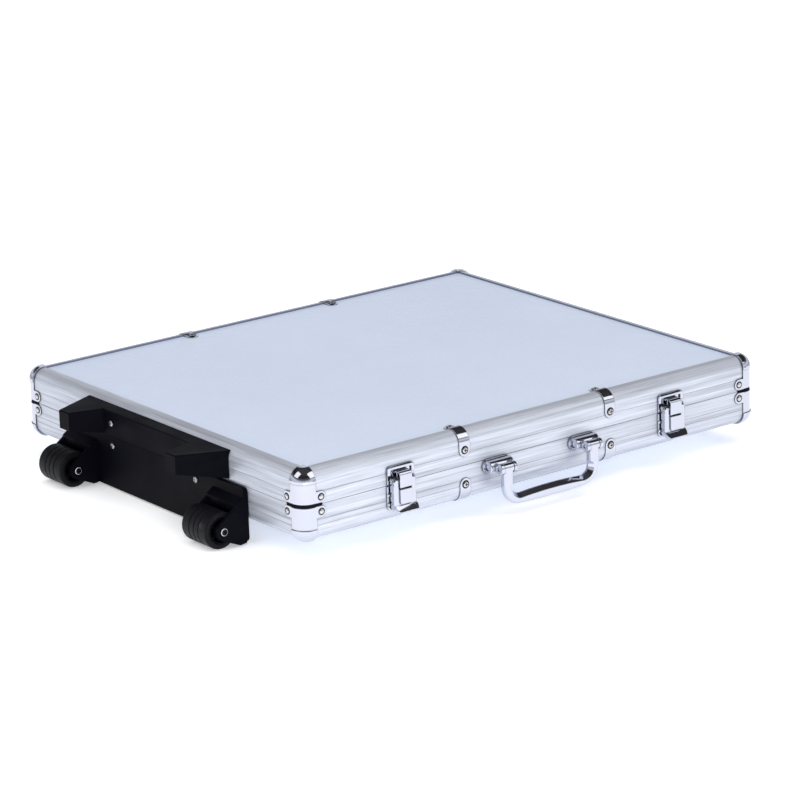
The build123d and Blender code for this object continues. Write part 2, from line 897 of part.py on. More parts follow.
def latch_lever():
    """Lever of a latch at x = 0: a pressed cover with side rails, a raised panel and a finger lip below."""
    half = lever_width / 2
    y_out = out_from_front(lever_out)
    shell = lever_outline(lever_out)
    shell = fillet(shell.faces().sort_by(Axis.Y)[0].edges(), lever_rounding)
    hollow = block(
        -half + lever_wall, half - lever_wall, y_out + lever_wall, out_from_front(lever_back) + 1,
        lever_bottom + lever_wall, lever_top + 1,
    )
    shell -= fillet(hollow.edges().filter_by(Axis.Y).group_by(Axis.Z)[0], lever_corner - lever_wall)
    slot = claw_width / 2 + claw_side_gap
    shell -= block(-slot, slot, y_out - 1, out_from_front(lever_back) + 1, lever_panel_top, lever_top + 1)
    shell += lever_panel()
    lip = latch_face(
        (lever_out - lever_wall / 2, lever_lip_top + lever_wall / 2),
        (lever_out + lever_lip_rise, lever_bottom + lever_lip_edge),
        (lever_out + lever_lip_rise, lever_bottom),
        (lever_out - lever_wall / 2, lever_bottom),
    )
    shell += slab_along_x(-half, half, lip) & lever_outline(lever_out + lever_lip_rise)
    for side in (-1, 1):
        shell += slab_along_x(*sorted((side * (half - lever_wall), side * half)), lever_cheek())
    pivot_out, pivot_height = claw_pivot()
    lever_y = out_from_front(lever_pivot_out)
    claw_y = out_from_front(pivot_out)
    shell -= rod_x(-half - 1, half + 1, lever_y, lever_pivot_height, pivot_rivet_radius + pin_fit)
    return shell - rod_x(-half - 1, half + 1, claw_y, pivot_height, claw_pin_radius + pin_fit)


def lever_panel():
    """Raised panel on a lever's face, below the claw."""
    side = lever_panel_width / 2
    y0 = out_from_front(lever_out + lever_panel_rise)
    y1 = out_from_front(lever_out - lever_wall / 2)
    panel_bar = block(-side, side, y0, y1, lever_panel_bottom, lever_panel_top)
    panel_bar = fillet(panel_bar.edges().filter_by(Axis.Y).group_by(Axis.Z)[0], lever_panel_corner)
    return fillet(panel_bar.faces().sort_by(Axis.Y)[0].edges(), lever_panel_rounding)


def latch_claw():
    """Claw of a latch at x = 0: rolled on its pin, with a hook over the catch's lip."""
    pivot_out, pivot_height = claw_pivot()
    outer = lever_out + lever_panel_rise
    inner = outer - claw_thickness
    thick = pivot_out + claw_roll_radius - 0.4
    under = claw_top - claw_thickness
    half = claw_width / 2
    hook = latch_face(
        (outer, claw_bottom), (outer, claw_top), (claw_tip_out, claw_top),
        (claw_tip_out, under - claw_tip_depth),
        (claw_tip_out + claw_tip_wall, under - claw_tip_depth), (claw_tip_out + claw_tip_wall, under),
        (inner, under), (inner, claw_plate_top), (thick, claw_plate_top), (thick, claw_bottom),
    )
    corner = hook.vertices().sort_by_distance((out_from_front(outer), claw_top, 0))[0]
    hook = fillet(corner, claw_bend)
    inside = hook.vertices().sort_by_distance((out_from_front(inner), under, 0))[0]
    hook = fillet(inside, claw_bend - claw_thickness)
    claw = slab_along_x(-half, half, hook)
    y = out_from_front(pivot_out)
    claw += rod_x(-half, half, y, pivot_height, claw_roll_radius)
    return claw - rod_x(-half - 1, half + 1, y, pivot_height, claw_pin_radius + pin_fit)


def claw_pin():
    """Pin between a lever's cheeks that carries the claw, at x = 0."""
    pivot_out, pivot_height = claw_pivot()
    half = lever_width / 2 + claw_pin_proud
    return rod_x(-half, half, out_from_front(pivot_out), pivot_height, claw_pin_radius)


def handle_bracket():
    """Die-cast bracket of the carry handle at x = 0: a barrel on a plate, and two ears for the pin."""
    low = handle_pivot_height - bracket_plate_height / 2
    bracket = block(
        -bracket_plate_half, bracket_plate_half, out_from_front(bracket_plate), -half_depth,
        low, low + bracket_plate_height,
    )
    bracket = fillet(bracket.edges().filter_by(Axis.Y), bracket_plate_height / 2 - 0.2)
    barrel_y = out_from_front(bracket_barrel_out)
    half = bracket_barrel_half
    barrel = rod_x(-half, half, barrel_y, handle_pivot_height, bracket_barrel_radius)
    barrel = fillet(barrel.edges().filter_by(GeomType.CIRCLE), bracket_barrel_rounding)
    for side in (-1, 1):
        ends = sorted((side * (half - bracket_dimple_depth), side * (half + 1)))
        barrel -= rod_x(*ends, barrel_y, handle_pivot_height, bracket_dimple_radius)
    high = low + bracket_plate_height
    bracket += barrel & block(-half, half, handle_y, -half_depth, low - past, high + past)
    waist = bracket_ear_waist
    ear = circle_at(handle_y, handle_pivot_height, bracket_eye_radius)
    ear += latch_face(
        (bracket_barrel_out, handle_pivot_height - waist), (bracket_barrel_out, handle_pivot_height + waist),
        (handle_pivot_out, handle_pivot_height + waist), (handle_pivot_out, handle_pivot_height - waist),
    )
    inner = arm_width / 2 + bracket_ear_gap
    for side in (-1, 1):
        cheek = slab_along_x(*sorted((side * inner, side * (inner + bracket_ear_width))), ear)
        outer_face = cheek.faces().sort_by(Axis.X)[-1 if side > 0 else 0]
        bracket += fillet(outer_face.edges(), bracket_ear_rounding)
    return bracket - rod_x(-half, half, handle_y, handle_pivot_height, handle_pin_radius + pin_fit)


def handle_pin():
    """Pin of the carry handle in one bracket, at x = 0."""
    half = arm_width / 2 + bracket_ear_gap + bracket_ear_width - handle_pin_inset
    return rod_x(-half, half, handle_y, handle_pivot_height, handle_pin_radius)


def carry_handle():
    """Cast U handle hanging in front of the case, bowed at its grip."""
    out = handle_spread + arm_width / 2
    inn = handle_spread - arm_width / 2
    top = handle_pivot_height
    low = handle_bottom + handle_bow
    left = Polyline((out, low), (out, top), (inn, top), (inn, grip_top))
    upper = ThreePointArc((inn, grip_top), (0, grip_top + grip_bow), (-inn, grip_top))
    right = Polyline((-inn, grip_top), (-inn, top), (-out, top), (-out, low))
    lower = ThreePointArc((-out, low), (0, handle_bottom), (out, low))
    face = make_face([*left.edges(), *upper.edges(), *right.edges(), *lower.edges()])
    outer_corners = [face.vertices().sort_by_distance((side * out, low, 0))[0] for side in (-1, 1)]
    face = fillet(outer_corners, handle_corner)
    inner_corners = [face.vertices().sort_by_distance((side * inn, grip_top, 0))[0] for side in (-1, 1)]
    face = fillet(inner_corners, handle_inner_corner)
    half = handle_thickness / 2
    body = slab_along_y(handle_y - half, handle_y + half, face)
    below = [edge for edge in body.edges() if edge.center().Z < top - 0.5]
    body = fillet([edge for edge in below if abs(edge.center().Y - handle_y) > 0.1], handle_rounding)
    for side in (-1, 1):
        x0 = side * handle_spread - arm_width / 2
        x1 = side * handle_spread + arm_width / 2
        body += rod_x(x0, x1, handle_y, top, handle_eye_radius)
        body -= rod_x(x0 - 1, x1 + 1, handle_y, top, handle_pin_radius + axle_fit)
    return body


def wheel_bracket():
    """Moulded plate on the wheel end: two forks, hoods over the wheels and sockets for the outer tubes."""
    face_x = -half_length - bracket_plate_thickness
    plate = block(
        face_x, -half_length - skin_gap, -fork_half_span, fork_half_span, wheel_plate_bottom, wheel_plate_top
    )
    plate = fillet(plate.edges().filter_by(Axis.X), wheel_plate_corner)
    nose = circle_at(wheel_x, wheel_z, ear_nose_radius)
    low = -floor_drop + ear_bottom_gap
    turn = ear_shoulder_radius
    shoulder = circle_at(face_x - hood_reach + turn, hood_edge - turn, turn)
    heel = circle_at(face_x - ear_heel_out, low + ear_heel_radius, ear_heel_radius)
    root = outline(
        (face_x - 1, low + 1), (face_x - 1, hood_edge), (face_x + 2, hood_edge), (face_x + 2, low + 1)
    )
    ear = hull_of(nose, shoulder, heel, root)
    hood = outline(
        (face_x + 1, hood_top), (face_x - hood_reach, hood_edge), (face_x - hood_reach, hood_bottom),
        (face_x + 1, hood_bottom),
    )
    inner = wheel_y - wheel_width / 2 - wheel_side_gap - ear_wall
    for side in (-1, 1):
        for start in (inner, fork_half_span - ear_wall):
            ends = sorted((side * start, side * (start + ear_wall)))
            plate += slab_along_y(ends[0], ends[1], ear)
        ends = sorted((side * inner, side * fork_half_span))
        plate += slab_along_y(ends[0], ends[1], hood)
        plate -= rod_y(ends[0] - 1, ends[1] + 1, wheel_x, wheel_z, axle_radius + hole_clearance)
    block_y = tube_offset + outer_tube[0] / 2 + socket_wall
    socket = block(
        -half_length - 1, -half_length + socket_length, -block_y, block_y,
        wheel_plate_bottom + 1, -body_clearance,
    )
    plate += socket
    for side in (-1, 1):
        plate -= tube_bar(outer_tube, hole_clearance, stage_span(0)[0] - 0.1, half_length, side)
    return plate


def wheel_axle(side):
    """Axle of one wheel, held by a head with a hexagon socket outside each cheek of its fork."""
    inner = wheel_y - wheel_width / 2 - wheel_side_gap - ear_wall
    y0, y1 = sorted((side * inner, side * fork_half_span))
    axle = rod_y(y0 - 0.5, y1 + 0.5, wheel_x, wheel_z, axle_radius)
    for face in (y0 - axle_head_thickness, y1):
        axle += rod_y(face, face + axle_head_thickness, wheel_x, wheel_z, axle_head_radius)
    socket = Pos(wheel_x, wheel_z) * RegularPolygon(axle_socket_radius, 6)
    for end in (y0 - axle_head_thickness, y1 + axle_head_thickness):
        axle -= slab_along_y(end - axle_head_thickness, end + axle_head_thickness, socket)
    return axle


def wheel_hub(side):
    """Spoked hub of one wheel."""
    half = wheel_width / 2
    y = side * wheel_y
    rim_radius = wheel_radius - tyre_thickness
    hub = rod_y(y - half, y + half, wheel_x, wheel_z, rim_radius)
    inner = rim_radius - hub_rim_thickness
    wide = spoke_thickness / 2
    for face in (-1, 1):
        ends = sorted((y + face * (half - hub_recess_depth), y + face * (half + 1)))
        recess = rod_y(ends[0], ends[1], wheel_x, wheel_z, inner)
        recess -= rod_y(ends[0] - 1, ends[1] + 1, wheel_x, wheel_z, hub_boss_radius)
        for spoke in range(hub_spokes):
            low = ends[0] - 1 if face > 0 else ends[0] + spoke_setback
            high = ends[1] + 1 if face < 0 else ends[1] - spoke_setback
            bar = block(0, inner + hub_rim_thickness / 4, low, high, -wide, wide)
            recess -= Pos(wheel_x, 0, wheel_z) * Rot(0, spoke * 360 / hub_spokes, 0) * bar
        hub -= recess
    return hub - rod_y(y - half - 1, y + half + 1, wheel_x, wheel_z, axle_radius + axle_fit)


def wheel_tyre(side):
    """Grooved tyre of one wheel."""
    half = wheel_width / 2
    y = side * wheel_y
    tyre = rod_y(y - half, y + half, wheel_x, wheel_z, wheel_radius)
    tyre = fillet(tyre.edges(), tyre_rounding)
    for index in (-1, 0, 1):
        middle = y + index * tyre_groove_pitch
        ring = rod_y(
            middle - tyre_groove_width / 2, middle + tyre_groove_width / 2, wheel_x, wheel_z, wheel_radius + 1
        )
        ring -= rod_y(middle - past, middle + past, wheel_x, wheel_z, wheel_radius - tyre_groove_depth)
        tyre -= ring
    return tyre - rod_y(y - half - 1, y + half + 1, wheel_x, wheel_z, wheel_radius - tyre_thickness)


def bumper():
    """U-shaped bumper on the lid's wheel end, its back fitted to the rounded rail."""
    tip = -half_length - wheel_reach
    bar = -half_length - bumper_bar
    plan = outline(
        (-half_length + bumper_root, -bumper_half_width),
        (-half_length, -bumper_half_width),
        (tip, -prong_outer),
        (tip, -prong_inner),
        (bar, -bumper_inner_half),
        (bar, bumper_inner_half),
        (tip, prong_inner),
        (tip, prong_outer),
        (-half_length, bumper_half_width),
        (-half_length + bumper_root, bumper_half_width),
    )
    body = slab_along_z(bumper_bottom, bumper_top, plan)
    slope = outline(
        (-half_length, bumper_bottom),
        (tip - 1, bumper_bottom + prong_rise),
        (tip - 1, bumper_bottom - 1),
        (-half_length, bumper_bottom - 1),
    )
    body -= slab_along_y(-bumper_half_width - 1, bumper_half_width + 1, slope)
    top_rim = body.faces().sort_by(Axis.Z)[-1].edges()
    body = chamfer([edge for edge in top_rim if edge.center().X < -half_length - 1], bumper_chamfer)
    return body - case_form(skin_gap)


def bumper_spots():
    """Screw spots of the bumper."""
    x = -half_length - bumper_bar
    return [((x, side * bumper_screw_offset, bumper_screw_height), (-1, 0, 0)) for side in (-1, 1)]


def plate_spots():
    """Screw spots of the wheel bracket and of the guide block."""
    x = -half_length - bracket_plate_thickness
    spots = [((x, side * plate_screw_offset, plate_screw_height), (-1, 0, 0)) for side in (-1, 1)]
    x = half_length + guide_plate
    spots += [((x, side * guide_screw_offset, guide_screw_height), (1, 0, 0)) for side in (-1, 1)]
    return spots


def clip_spots():
    """Screw spots of the tube clips."""
    spots = []
    z = lip_thickness + panel_clearance - body_clearance - clip_wall
    for x in (-clip_offset, clip_offset):
        for side in (-1, 1):
            for edge in (-1, 1):
                y = side * tube_offset + edge * (outer_tube[0] / 2 + clip_wall + clip_flange / 2)
                spots.append(((x, y, z), (0, 0, -1)))
    return spots


def tube_face(size, grow):
    """Rounded oblong section of a tube, in (y, z), grown by grow."""
    wide = size[0] + 2 * grow
    high = size[1] + 2 * grow
    return RectangleRounded(wide, high, tube_corner)


def tube_bar(size, grow, x0, x1, side):
    """Solid bar of a tube's outer shape on one side of the case."""
    face = Pos(side * tube_offset, tube_height) * tube_face(size, grow)
    return slab_along_x(x0, x1, face)


def stage_size(stage):
    """Outer size of the tubes of a stage: 0 outer, 1 middle, 2 inner."""
    shrink = stage * 2 * (tube_wall + body_clearance)
    return outer_tube[0] - shrink, outer_tube[1] - shrink


def stage_span(stage):
    """X span of the tubes of a stage when the handle is pushed in."""
    start = -half_length + outer_tube_inset + stage * stage_step
    pressed = grip_end - grip_wall - body_clearance - carriage_depth - button_travel
    ends = (
        half_length - outer_tube_short,
        half_length + guide_plate - middle_tube_inset,
        pressed - tube_end_gap,
    )
    return start, ends[stage]


def stage_tube(stage, side):
    """One tube of a stage, nested in the stage before it."""
    size = stage_size(stage)
    x0, x1 = stage_span(stage)
    tube = tube_bar(size, 0, x0, x1, side)
    return tube - tube_bar(size, -tube_wall, x0 - 1, x1 + 1, side)


def end_plug(stage, side):
    """Plug in the inner end of a sliding tube, which guides it and carries its lock."""
    size = stage_size(stage)
    x0 = stage_span(stage)[0]
    plug = tube_bar(size, -tube_wall - hole_clearance, x0, x0 + plug_length, side)
    if stage == 1:
        inner = stage_size(2)
        plug -= tube_bar(inner, body_clearance, x0 + plug_length - plug_pocket, x0 + plug_length + past, side)
    return plug


def tube_clip(x, side):
    """Saddle strap that holds an outer tube under the bottom panel."""
    top = lip_thickness + panel_clearance - body_clearance
    wide = outer_tube[0] / 2 + clip_wall
    low = tube_height - outer_tube[1] / 2 - clip_wall
    y = side * tube_offset
    half = clip_width / 2
    clip = block(x - half, x + half, y - wide, y + wide, low, top)
    clip += block(x - half, x + half, y - wide - clip_flange, y + wide + clip_flange, top - clip_wall, top)
    inner = outer_tube[0] / 2 + clip_fit
    bottom = tube_height - outer_tube[1] / 2 - clip_fit
    clip -= block(x - half - 1, x + half + 1, y - inner, y + inner, bottom, top + 1)
    return clip


def guide_block():
    """Moulded block at the grip end: holds the outer tubes and guides the sliding ones."""
    end = half_length + guide_plate
    body = block(end - guide_depth, end, -guide_half_width, guide_half_width, guide_bottom, -body_clearance)
    body += block(half_length + skin_gap, end, -guide_half_width, guide_half_width, -1, guide_plate_top)
    body = fillet(body.edges().filter_by(Axis.X).group_by(Axis.Z)[-1], guide_corner)
    body -= block(
        end - guide_recess_depth, end + 1, -guide_recess_half, guide_recess_half, guide_bottom - 1,
        guide_recess_roof,
    )
    stop = stage_span(0)[1]
    for side in (-1, 1):
        body -= tube_bar(outer_tube, hole_clearance, 0, stop + 0.2, side)
        body -= tube_bar(stage_size(1), body_clearance, stop, end + 1, side)
    return body


def rubber_foot(side):
    """Foot under the guide block."""
    x = half_length - foot_inset
    foot = rod_z(-floor_drop, guide_bottom, x, side * foot_offset, foot_radius)
    return chamfer(foot.edges().group_by(Axis.Z)[0], foot_chamfer)


def grip():
    """Hollow grip on the inner tubes, with a window for the button."""
    start = half_length + guide_plate + body_clearance
    bar_start = half_length + grip_start
    z0 = tube_height - grip_height / 2
    z1 = tube_height + grip_height / 2
    bar = block(bar_start, grip_end, -grip_half_width, grip_half_width, z0, z1)
    bar = fillet(bar.edges(), grip_rounding)
    for side in (-1, 1):
        y = side * tube_offset
        bar += block(
            start, bar_start + grip_leg_in_bar, y - grip_leg_half, y + grip_leg_half,
            z0 + grip_leg_step, z1 - grip_leg_step,
        )
    cavity_half = tube_offset + carriage_past_tube + carriage_play
    cavity = block(
        bar_start + grip_wall, grip_end - grip_wall, -cavity_half, cavity_half,
        tube_height - carriage_height / 2 - cavity_play, tube_height + carriage_height / 2 + cavity_play,
    )
    bar -= cavity
    bar -= block(
        grip_end - grip_wall - 1, grip_end + 1,
        -button_half_width - body_clearance, button_half_width + body_clearance,
        tube_height - button_height / 2 - body_clearance, tube_height + button_height / 2 + body_clearance,
    )
    for side in (-1, 1):
        bar -= tube_bar(stage_size(2), hole_clearance, start - 1, stage_span(2)[1] + 0.1, side)
        bar -= rod_x(
            start, grip_end - grip_wall, side * tube_offset, tube_height, push_rod_radius + body_clearance
        )
    return bar


def release_button():
    """Push button in the grip and the carriage behind it."""
    face = grip_end - grip_wall - body_clearance
    half = button_half_width
    carriage = block(
        face - carriage_depth, face, -tube_offset - carriage_past_tube, tube_offset + carriage_past_tube,
        tube_height - carriage_height / 2, tube_height + carriage_height / 2,
    )
    cap = block(
        face - 1, grip_end + button_proud, -half, half,
        tube_height - button_height / 2, tube_height + button_height / 2,
    )
    cap = fillet(cap.edges().filter_by(Axis.X), button_corner)
    cap = fillet(cap.faces().sort_by(Axis.X)[-1].edges(), button_rounding)
    return carriage + cap


def push_rod(side):
    """Rod from the button's carriage down an inner tube."""
    end = grip_end - grip_wall - body_clearance - carriage_depth
    return rod_x(end - push_rod_length, end, side * tube_offset, tube_height, push_rod_radius)


def write(name, pieces):
    """Writes one node in the object's own frame."""
    group = solids_of(pieces)
    export_step(Location(to_origin) * group, f"parts/{name}.step")


def at_sides(shape, distance):
    """A piece made at x = 0, set at both sides of the middle."""
    return [Pos(side * distance, 0, 0) * shape for side in (-1, 1)]


def spots_at_sides(spots, distance):
    """Fastener spots made at x = 0, set at both sides of the middle."""
    return [((x + side * distance, y, z), way) for side in (-1, 1) for (x, y, z), way in spots]


def build_base():
    """All pieces of the base half and what is fixed to it."""
    rivet_spots = flange_spots(parting_height - base_flange_below_parting) + leaf_spots(0)
    screw_spots = band_spots(False)
    small_spots = spots_at_sides(latch_plate_spots(), latch_offset)
    trolley_spots = plate_spots() + clip_spots()

    def drilled(shape):
        shape = drill(shape, rivet_spots, rivet_shank_radius, rivet_shank_length)
        shape = drill(shape, screw_spots, screw_shank_radius, screw_shank_length)
        shape = drill(shape, small_spots, small_rivet_shank_radius, small_rivet_shank_length)
        return drill(shape, trolley_spots, screw_shank_radius, screw_shank_length + bracket_plate_thickness)

    for name, rail in zip(("front", "back", "left", "right"), rails(base_profile())):
        write(f"base_rail_{name}", [drilled(rail)])
    under = lip_thickness + panel_clearance
    write("base_panel_sheet", [drilled(panel(under, under + sheet_thickness))])
    write("base_panel_board", [drilled(panel(under + sheet_thickness, under + panel_thickness))])
    middle = parting_height - base_flange_below_parting
    cover = corner_shell() & corner_zone(-past, parting_height - cover_parting_gap, middle)
    write("base_corner_covers", [drilled(one) for one in four_corners(cover)])
    write("base_edge_bands", [drilled(one) for one in base_bands()])
    write("base_rivets", [place(rivet(), *spot) for spot in rivet_spots])
    write("base_band_screws", [place(pan_screw(), *spot) for spot in screw_spots])
    write("chip_tray_left", [Pos(-chip_tray_middle(), 0, 0) * chip_tray()])
    write("chip_tray_right", [Pos(chip_tray_middle(), 0, 0) * chip_tray()])
    write("accessory_tray", [accessory_tray()])
    write("hinge_base_leaves", [drilled(one) for one in at_sides(hinge_leaf(0), hinge_offset)])
    half = hinge_width / 2
    pin = rod_x(-half, half, hinge_y, parting_height, hinge_pin_radius)
    write("hinge_pins", at_sides(pin, hinge_offset))
    write("latch_bases", [drilled(one) for one in at_sides(latch_base(), latch_offset)])
    write("latch_plate_rivets", [place(small_rivet(), *spot) for spot in small_spots])
    write("latch_pivot_rivets", [one for pivot in pivot_rivets() for one in at_sides(pivot, latch_offset)])
    write("handle_brackets", at_sides(handle_bracket(), handle_spread))
    write("handle_pins", at_sides(handle_pin(), handle_spread))
    write("wheel_bracket", [drilled(wheel_bracket())])
    write("wheel_axles", [wheel_axle(side) for side in (-1, 1)])
    write("outer_tubes", [stage_tube(0, side) for side in (-1, 1)])
    clips = [tube_clip(x, side) for x in (-clip_offset, clip_offset) for side in (-1, 1)]
    write("tube_clips", [drilled(clip) for clip in clips])
    write("guide_block", [drilled(guide_block())])
    long_screw = pan_screw() + rod_z(
        -screw_shank_length - bracket_plate_thickness, -screw_shank_length, 0, 0, screw_shank_radius
    )
    screws = [place(long_screw, *spot) for spot in plate_spots()]
    screws += [place(pan_screw(), *spot) for spot in clip_spots()]
    write("trolley_screws", screws)
    write("rubber_feet", [rubber_foot(side) for side in (-1, 1)])


def build_lid():
    """All pieces of the lid half."""
    rivet_spots = flange_spots(parting_height + lid_flange_above_parting) + leaf_spots(1)
    screw_spots = band_spots(True)
    small_spots = spots_at_sides(catch_spots(), latch_offset)
    bumper_depth = screw_shank_length + bumper_bar

    def drilled(shape):
        shape = drill(shape, rivet_spots, rivet_shank_radius, rivet_shank_length)
        shape = drill(shape, screw_spots, screw_shank_radius, screw_shank_length)
        shape = drill(shape, small_spots, small_rivet_shank_radius, small_rivet_shank_length)
        return drill(shape, bumper_spots(), screw_shank_radius, bumper_depth)

    for name, rail in zip(("front", "back", "left", "right"), rails(lid_profile())):
        write(f"lid_rail_{name}", [drilled(rail)])
    top = case_height - lip_thickness - panel_clearance
    write("lid_panel_sheet", [drilled(panel(top - sheet_thickness, top))])
    write("lid_panel_board", [drilled(panel(top - panel_thickness, top - sheet_thickness))])
    middle = parting_height + lid_flange_above_parting
    cover = corner_shell() & corner_zone(parting_height + cover_parting_gap, case_height + past, middle)
    write("lid_corner_covers", [drilled(one) for one in four_corners(cover)])
    write("lid_edge_bands", [drilled(one) for one in lid_bands()])
    write("lid_rivets", [place(rivet(), *spot) for spot in rivet_spots])
    write("lid_band_screws", [place(pan_screw(), *spot) for spot in screw_spots])
    write("lid_foam", [lid_foam()])
    write("hinge_lid_leaves", [drilled(one) for one in at_sides(hinge_leaf(1), hinge_offset)])
    write("latch_catches", [drilled(one) for one in at_sides(latch_catch(), latch_offset)])
    write("latch_catch_rivets", [place(small_rivet(), *spot) for spot in small_spots])
    write("bumper", [drilled(bumper())])
    long_screw = pan_screw() + rod_z(-bumper_depth, -screw_shank_length, 0, 0, screw_shank_radius)
    write("bumper_screws", [place(long_screw, *spot) for spot in bumper_spots()])


def build_moving():
    """Latch levers and claws, carry handle, wheels and the telescopic handle."""
    for name, side in (("left", -1), ("right", 1)):
        spot = Pos(side * latch_offset, 0, 0)
        write(f"latch_lever_{name}", [spot * latch_lever()])
        write(f"latch_claw_{name}", [spot * latch_claw()])
        write(f"claw_pin_{name}", [spot * claw_pin()])
    write("carry_handle", [carry_handle()])
    for name, side in (("front", -1), ("back", 1)):
        write(f"wheel_hub_{name}", [wheel_hub(side)])
        write(f"wheel_tyre_{name}", [wheel_tyre(side)])
    write("middle_tubes", [stage_tube(1, side) for side in (-1, 1)])
    write("middle_tube_plugs", [end_plug(1, side) for side in (-1, 1)])
    write("inner_tubes", [stage_tube(2, side) for side in (-1, 1)])
    write("trolley_grip", [grip()])
    write("release_button", [release_button()])
    write("push_rods", [push_rod(side) for side in (-1, 1)])


def main():
    """Builds and writes every node."""
    os.makedirs("parts", exist_ok=True)
    build_base()
    build_lid()
    build_moving()


if __name__ == "__main__":
    main()
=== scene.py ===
"""Looks of a flat trolley case for poker chips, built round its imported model.

Lengths are in metres unless a name ends in _mm. The case lies on its wheels and feet: +X runs from the
wheels to the pull grip, -Y is the side with the latches and the carry handle, and +Z is up.
"""

import json
import logging
import math
from dataclasses import dataclass
from enum import Enum
from typing import Callable, Sequence

import bmesh
import bpy
import numpy as np
from mathutils import Matrix, Vector


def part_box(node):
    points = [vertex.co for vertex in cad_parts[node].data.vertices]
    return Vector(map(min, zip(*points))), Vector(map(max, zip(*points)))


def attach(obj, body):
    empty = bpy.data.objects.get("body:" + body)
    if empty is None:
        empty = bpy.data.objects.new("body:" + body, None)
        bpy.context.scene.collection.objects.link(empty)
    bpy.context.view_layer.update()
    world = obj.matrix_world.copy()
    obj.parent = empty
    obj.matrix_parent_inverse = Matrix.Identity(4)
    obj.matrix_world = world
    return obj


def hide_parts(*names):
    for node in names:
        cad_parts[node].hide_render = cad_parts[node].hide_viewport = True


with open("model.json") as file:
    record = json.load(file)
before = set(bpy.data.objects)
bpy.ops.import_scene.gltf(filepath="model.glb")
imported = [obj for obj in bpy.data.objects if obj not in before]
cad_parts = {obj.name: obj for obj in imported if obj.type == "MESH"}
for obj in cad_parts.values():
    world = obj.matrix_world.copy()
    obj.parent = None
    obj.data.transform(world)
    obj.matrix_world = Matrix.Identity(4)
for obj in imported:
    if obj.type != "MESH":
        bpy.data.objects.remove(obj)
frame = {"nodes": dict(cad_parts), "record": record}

MM = 0.001
MERGE_DISTANCE = 2e-6
LEVEL_ANGLE = 0.3
EASE_ANGLE = 40.0
SMOOTH_ANGLE = 32.0
LOG = logging.getLogger("chip_case")
NODES: dict[str, bpy.types.Object] = frame["nodes"]
BODY_OF: dict[str, str] = {
    node: body for body, members in frame["record"]["behaviour"]["bodies"].items() for node in members
}
Colour = tuple[float, float, float, float]
Socket = bpy.types.NodeSocket
Tree = bpy.types.NodeTree


class Way(Enum):
    """Direction in which a part was extruded or drawn."""

    ALONG_X = (0.02, 1.0, 1.0)
    ALONG_Y = (1.0, 0.02, 1.0)


class Head(Enum):
    """Kind of fastener head."""

    DOME = "dome"
    CROSS = "cross"


def linear(code: str) -> Colour:
    """Turns an sRGB hex colour such as "#c8ccd2" into linear red, green, blue and an alpha of 1."""
    channels = [int(code[i : i + 2], 16) / 255 for i in (1, 3, 5)]
    red, green, blue = (c / 12.92 if c <= 0.04045 else ((c + 0.055) / 1.055) ** 2.4 for c in channels)
    return red, green, blue, 1.0


def add_node(tree: Tree, kind: str, inputs: dict | None = None, **settings) -> bpy.types.Node:
    """Adds one node to a tree with its settings and links.

    Args:
        tree: Shader or geometry tree.
        kind: Blender's name of the node type.
        inputs: Socket name or number to a value, or to the output socket that feeds it.
        **settings: Attributes of the node itself.

    Returns:
        The new node.
    """
    node = tree.nodes.new(kind)
    for name, value in settings.items():
        setattr(node, name, value)
    for key, value in (inputs or {}).items():
        socket = node.inputs[key]
        if isinstance(value, bpy.types.NodeSocket):
            tree.links.new(value, socket)
        else:
            socket.default_value = value
    return node


class Graph:
    """A tree of nodes while it is being built."""

    def __init__(self, tree: Tree) -> None:
        """Takes the tree to build."""
        self.tree = tree

    def node(self, kind: str, inputs: dict | None = None, **settings) -> bpy.types.Node:
        """Adds a node to the tree."""
        return add_node(self.tree, kind, inputs, **settings)

    def out(self, kind: str, inputs: dict | None = None, **settings) -> Socket:
        """Adds a node to the tree and returns its first output."""
        return self.node(kind, inputs, **settings).outputs[0]

    def calc(self, first: Socket | float, second: Socket | float, operation: str = "ADD") -> Socket:
        """Returns the outcome of one step of arithmetic."""
        return self.out("ShaderNodeMath", {0: first, 1: second}, operation=operation)


